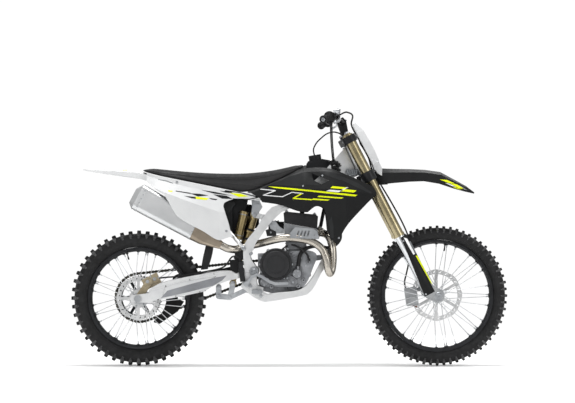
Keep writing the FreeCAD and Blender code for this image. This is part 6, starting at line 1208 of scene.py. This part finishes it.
# Bolts at places of the photograph: y, size, height and the depth at which they are seen
for name, places in (
    ("shock_bolts", [(254.3, 214.6, -30, 9, 9, -30), (257.5, 204, -30, 5, 6, -30)]),
    ("throttle_bolts", [
        (271.6, 224.3, -57.5, 4.5, 5, -60), (276.4, 227.2, -57.5, 5.5, 5, -60),
        (281.5, 231.4, -57.5, 4, 5, -60), (270.8, 232.5, -65.5, 3.5, 5, -60),
    ]),
):
    shape = Shape()
    for column, row, y, size, height, depth in places:
        x, z = seen(depth, column, row)[0]
        shape.bolt((x, y, z), RIGHT, size, height)
    shape.piece(name)

# Swingarm: raised edges round a long recess, the recess itself painted shade: a barely raised patch in a darker
# copy of the metal
dress("swingarm", "chassis", 100, 0.3, 1.1, [(
    "swingarm_bands", "frame_metal", [], (8.5, 152.5, 289.8, 166, 286.2, 190, 279.9, 214, 273.8, 229, 271.6),
    (9.5, 158, 300.2, 176, 296.4, 200, 292, 214, 288), (6, 152.5, 299.6, 158.5, 299.6, 165, 290),
)])
dress("swingarm", "chassis", 100, 0.3, 0.4, [("swingarm_recess", "recess_metal", [
    (161, 298, 167.5, 290.6, 190, 284.2, 190, 291.6, 172, 295.6),
    (190, 284.2, 214, 277.8, 226.5, 275.6, 222, 280.5, 213, 285.8, 190, 291.6),
])])

# Shroud facets as painted highlights: a lighter copy of the black plastic on the top plane, the panel under the
# seat's nose, the intake and the lower duct
dress("shrouds", "chassis", 150, 0.12, 0.25, [("shroud_facet", "plastic_facet", [
    (301.5, 170, 310, 173.5, 306.5, 184.6, 300.8, 186.2),
    (301.5, 170, 300.8, 186.2, 287, 185.6, 270, 184.4, 290, 175.6),
    (309.5, 174.6, 316.5, 181.8, 320.4, 185.4, 306.6, 184.6),
    (318.5, 172.2, 326, 169.6, 341, 176, 341, 180.4, 330, 176.6),
    (341, 176, 358, 183, 371.5, 192.6, 371, 194.6, 356, 187.2, 341, 180.4),
    (329, 220.6, 331.6, 216.4, 333.4, 226, 333.6, 238.6, 330.6, 237.2),
])])

# Rear caliper: its pins and bridge

caps = Shape()
for column, row, radius in ((147.5, 281.5, 7.5), (154.5, 279, 7.5), (150.5, 276.5, 4), (158.5, 277.5, 4)):
    for spot, normal in on_side("rear_caliper", -1, seen(-84, column, row)):
        outer, inner = [(0, 1.25), (3, 1.2), (4.2, 1)], [(4.2, 0.55), (2.6, 0.5)]
        profile = [(along, radius * share) for along, share in outer + inner]
        caps.turned(spot - Vector(RIGHT) * 0.6, RIGHT, profile + [(2.6, 0.01)], 20, False)
caps.piece("rear_caliper_caps")
bridge = Shape()
for column, row, length in ((146, 285.5, 15), (151, 283.6, 30), (156.5, 282, 27)):
    for spot, normal in on_side("rear_caliper", -1, seen(-84, column, row)):
        bridge.brick(spot + Vector((0, -1.6, 0)), (0.9, 0, 0.35), (0, -1, 0), length, 4, 5, 1.2)
bridge.piece("rear_caliper_ribs", "caliper_gold")

# Casting ribs on the crankcase, and the oil line

casting = Shape()
for angle in (radians(-52 + 15 * number) for number in range(6)):
    places = [(686 + reach * cos(angle), 509 + reach * sin(angle)) for reach in (93, 128)]
    spots = [spot for spot, normal in on_side("crankcase", -1, places)]
    if len(spots) == 2 and abs(spots[0].y - spots[1].y) < 14:
        casting.tube([spots[0], spots[0].lerp(spots[1], 0.5), spots[1]], [4.2, 3.6, 3], 8)
boss = [(0, 11), (5, 10), (7.5, 9), (7.5, 4.5), (5, 4)]
places = [(760, 560), (806, 540), (846, 520), (822, 430), (796, 400), (742, 392), (664, 398)]
for spot, normal in on_side("crankcase", -1, places):
    casting.turned(spot + Vector((0, 1.5, 0)), RIGHT, boss, 22, False)
casting.piece("case_ribs", "cast_metal", smooth=40)
oil = Shape()
for line, radius, sides in (
    ([(852, -96, 528), (838, -112, 560), (812, -118, 584), (786, -112, 600), (764, -98, 606)], 5, 14),
    ([(742, -108, 600), (722, -128, 588), (706, -132, 572), (700, -128, 556)], 4, 12),
):
    oil.tube(smooth_line(line), radius, sides)
oil.piece("engine_lines", "rubber_black")

# Lower lip of the number plate, and the hose behind it

lip = Shape()
cheek = (374.5, 160, 378.8, 161.5, 382.3, 168.5, 382, 175.8, 377.6, 173.6, 373.8, 168.8)
chin = (379, 161.8, 382.2, 168.5, 381.9, 175.8, 380, 174.8, 378.6, 168.5, 377.4, 163.5)
for side in (-1, 1):
    lip.prism(seen(-70, *cheek), side * 30, side * 72, 4)
lip.prism(seen(-30, *chin), -31, 31)
lip.piece("plate_lip", "plastic_white", "steering", smooth=30)
loop = Shape()
places = zip(seen(-60, 367, 151, 371, 158, 374.5, 163, 375, 168.5, 373, 172), (-56, -60, -60, -54, -46))
loop.tube(smooth_line([(x, y, z) for (x, z), y in places]), 3.4, 12)
loop.piece("plate_hose", "rubber_black", "steering")

# Electrics in front of the tank

wires = Shape()
for columns, rows, radius in (
    ((331, 334, 337, 339.5), (163.5, 162.5, 163.5, 167), 13),
    ((332, 336, 340), (169, 167.5, 171.5), 10),
    ((330, 332, 335), (161, 166, 171.5), 9),
):
    places = [(c, seen(-55, c, r)[0]) for c, r in zip(columns, rows)]
    line = smooth_line([(x, -54 - 3 * sin(c), z) for c, (x, z) in places])
    wires.tube(line, [radius * (0.86 + 0.14 * cos(k * 1.3)) for k in range(len(line))], 14)
wires.piece("wire_boots", "rubber_black")
fins = Shape()
for k in range(6):
    ends = seen(-58, 346.5 + k * 1.9, 175.6 - k * 0.2, 348.0 + k * 1.9, 168.5 + k * 0.4)
    fins.tube([(x, -58, z) for x, z in ends], 3, 8)
a, b = (Vector((x, -50, z)) for x, z in seen(-52, 346, 173.5, 358, 171.5))
fins.brick((a + b) / 2, b - a, (0, -1, 0), 56, 14, 28, 3)
fins.piece("regulator_fins", "radiator_metal")


# Handlebar, levers, clamps and lines

BAR_X = fork_at(-29, 0, 985).x


def grip(side):
    """The outer end of a grip, and the direction inwards along it."""
    end = Vector((BAR_X - 100, side * 408, 1216))
    return end, (Vector((BAR_X - 48, side * 218, 1243)) - end).normalized()


controls = Shape()
blades = Shape()
ribs = Shape()
plugs = Shape()
for side in (1, -1):
    end, along = grip(side)
    for k in range(19):
        ribs.turned(end + along * (6 + 6.0 * k), along, [(0, 17), (0.8, 18.2), (2.6, 18.2), (3.4, 17)], 24, False)
    ribs.turned(end - along * 3, along, [(0, 9), (0.5, 17.5), (6, 20), (8, 20), (9, 17)], 28)
    plugs.turned(end - along * 2.4, -along, [(0, 9.5), (2.2, 9.5), (3.4, 8), (3.4, 3.2), (1, 2.8)], 24)
    perch = end + along * 148
    controls.turned(perch - along * 15.5, along, [(0, 19.2), (1, 20), (30, 20), (31, 19.2)], 24, False)
    for k in (-7, 7):
        controls.socket(perch + along * k + Vector((13, 0, 14)), (0.35, 0, 1), 3.6, 4)
    root = end + along * 163 + Vector((34, 0, -8))
    controls.turned(root + Vector((0, 0, -9)), UP, [(0, 9.5), (18, 9.5), (19, 8.5)], 20)
    controls.bolt(root + Vector((0, 0, 9.5)), UP, 4.6, 5)
    tip = end + Vector((58, side * -6, -14))
    knee = (root + tip) * 0.5 + Vector((10, 0, -4))
    line = [root, root.lerp(knee, 0.5) + Vector((5, 0, -1)), knee, knee.lerp(tip, 0.55) + Vector((2, 0, 0)), tip]
    line = smooth_line(line)
    rows = []
    for number, point in enumerate(line):
        share = number / (len(line) - 1)
        deep, tall = 5.6 - share, 8.2 - 2.4 * share
        rows.append([point + Vector((deep * cos(t), 0, tall * sin(t))) for t in circle(14)])
    blades.grid(rows, True)
    ball = [(9 - 9 * cos(t), max(9 * sin(t), 0.05)) for t in (pi * k / 12 for k in range(13))]
    blades.turned(tip - along * 9, along, ball, 18)
    tank = end + along * 176 + Vector((24, 0, 16))
    blades.tube([tank + along * reach + Vector((0, 0, -7)) for reach in (-30, 26)], 9.5, 20)
    blades.brick(tank + Vector((0, 0, 6)), along, UP, 40, 16, 26, 2)
    blades.brick(tank + Vector((0, 0, 16)), along, UP, 44, 4, 30, 1.2)
    for k in (-17, 17):
        controls.socket(tank + along * k + Vector((0, 0, 17.6)), UP, 3, 1.6)
controls.piece("lever_perches", "bar_black", "steering", "control_levers")
blades.piece("lever_blades", "lever_metal", "steering")
ribs.piece("grip_ribs", "grip_rubber", "steering")
plugs.piece("bar_plugs", "bolt_steel", "steering")

# Throttle housing and the twin throttle line

housing = Shape()
end, along = grip(-1)
drum = end + along * 126
housing.turned(drum - along * 9, along, [(0, 20), (1.5, 25), (9, 26), (18, 25), (19.5, 20)], 28)
spout = [drum + Vector((x, 0, z)) for x, z in ((2, -16), (5, -30), (8, -44))]
housing.tube(spout, [11, 10, 6.5], 16)
housing.piece("throttle_housing", "bar_black", "steering")

line_start = drum + Vector((8, 2, -42))
line_end = Vector((973, -34, 1018))
bends = [Vector(p) for p in ((958, -268, 1150), (962, -205, 1098), (968, -120, 1050), (972, -66, 1028))]
cable = Shape()
for shift in (-3.4, 3.4):
    path = [line_start] + bends + [line_end + Vector((0, 0, -4))]
    cable.tube(smooth_line([p + Vector((shift, 0, 0)) for p in path], 10), 3.3, 12)
cable = cable.piece("throttle_lines", "rubber_black", None)
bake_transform(cable)

boot = Shape()
path = ((0, -6, 8), (4, 2, -8), (14, 8, -26), (30, 10, -44))
boot.tube(smooth_line([line_end + Vector(p) for p in path], 6), 11.5, 16)
for k in range(5):
    spot = line_end + Vector((4 + 5 * k, 2 + 2 * k, -8 - 7 * k))
    boot.turned(spot, (5, 2, -7), [(0, 11), (1.2, 13.2), (3.4, 13.2), (4.6, 11)], 20, False)
boot.piece("line_boot", "rubber_black")

# Clamp screws, fork caps and the axle's ends

front = Shape()
for side in (1, -1):
    rays = [(fork_at(0, side * 78, s) - Vector((140, 0, 60)), FORK_AHEAD, 5) for s in (885, 676, 698)]
    rays += [(fork_at(ahead_by, side * y, 1030), -FORK_UP, 4.6) for y in (36, 54) for ahead_by in (-46, -8)]
    for origin, direction, size in rays:
        for spot, normal in ray_to("triple_clamps", origin, direction):
            front.socket(spot - normal * 0.5, normal, size, 5)
    cap = fork_at(-37, side * 105, 925)
    front.turned(cap - FORK_UP, FORK_UP, [(0, 12.5), (7, 12.5), (8, 11.5)], 6)
    front.turned(cap + FORK_UP * 6.5, FORK_UP, [(0, 7), (3.5, 7), (4.2, 6)], 18)
    front.bolt((1430, side * 126.2, 418), (0, side, 0), 4.6, 4.6)
axle_ring = [(0, 20), (5, 20), (6, 19), (6, 10.5)]
front.turned((WHEELBASE, -125.6, FRONT_RADIUS), RIGHT, axle_ring, 28, False)
axle_nut = [(0, 12.6), (6, 12.6), (7, 11.6), (7, 8), (1, 7.6)]
front.turned((WHEELBASE, -130, FRONT_RADIUS), RIGHT, axle_nut, 6)
front.piece("clamp_screws", "bolt_steel", "steering")
stem_nut = Shape()
stem_nut.turned(fork_at(-59, 0, 922), FORK_UP, [(0, 16), (2, 17.5), (9, 17.5), (10, 16), (10, 9)], 6)
stem_nut.piece("stem_nut", "bolt_steel", "steering")


# Floor

FLOOR_REACH = 3200.0
paper = Finish("floor_paper")
paper.colour(paper.noise(3, 4), "#F4F4F4", "#FAFAFA")
paper.roughness(paper.noise(20, 4), 0.85, 0.95)
paper.bump(paper.noise(300, 3), 0.05, 0.0003)
paper.set(Specular_IOR_Level=0.1, Emission_Color=WHITE, Emission_Strength=0.10)
corners = ((-1, -1), (1, -1), (1, 1), (-1, 1))
data = bpy.data.meshes.new("floor")
spots = [at(CAMERA_X + x * FLOOR_REACH, y * FLOOR_REACH, -0.5) for x, y in corners]
data.from_pydata([tuple(spot) for spot in spots], [], [(0, 1, 2, 3)])
data.materials.append(paper.material)
in_scene(bpy.data.objects.new("floor", data))
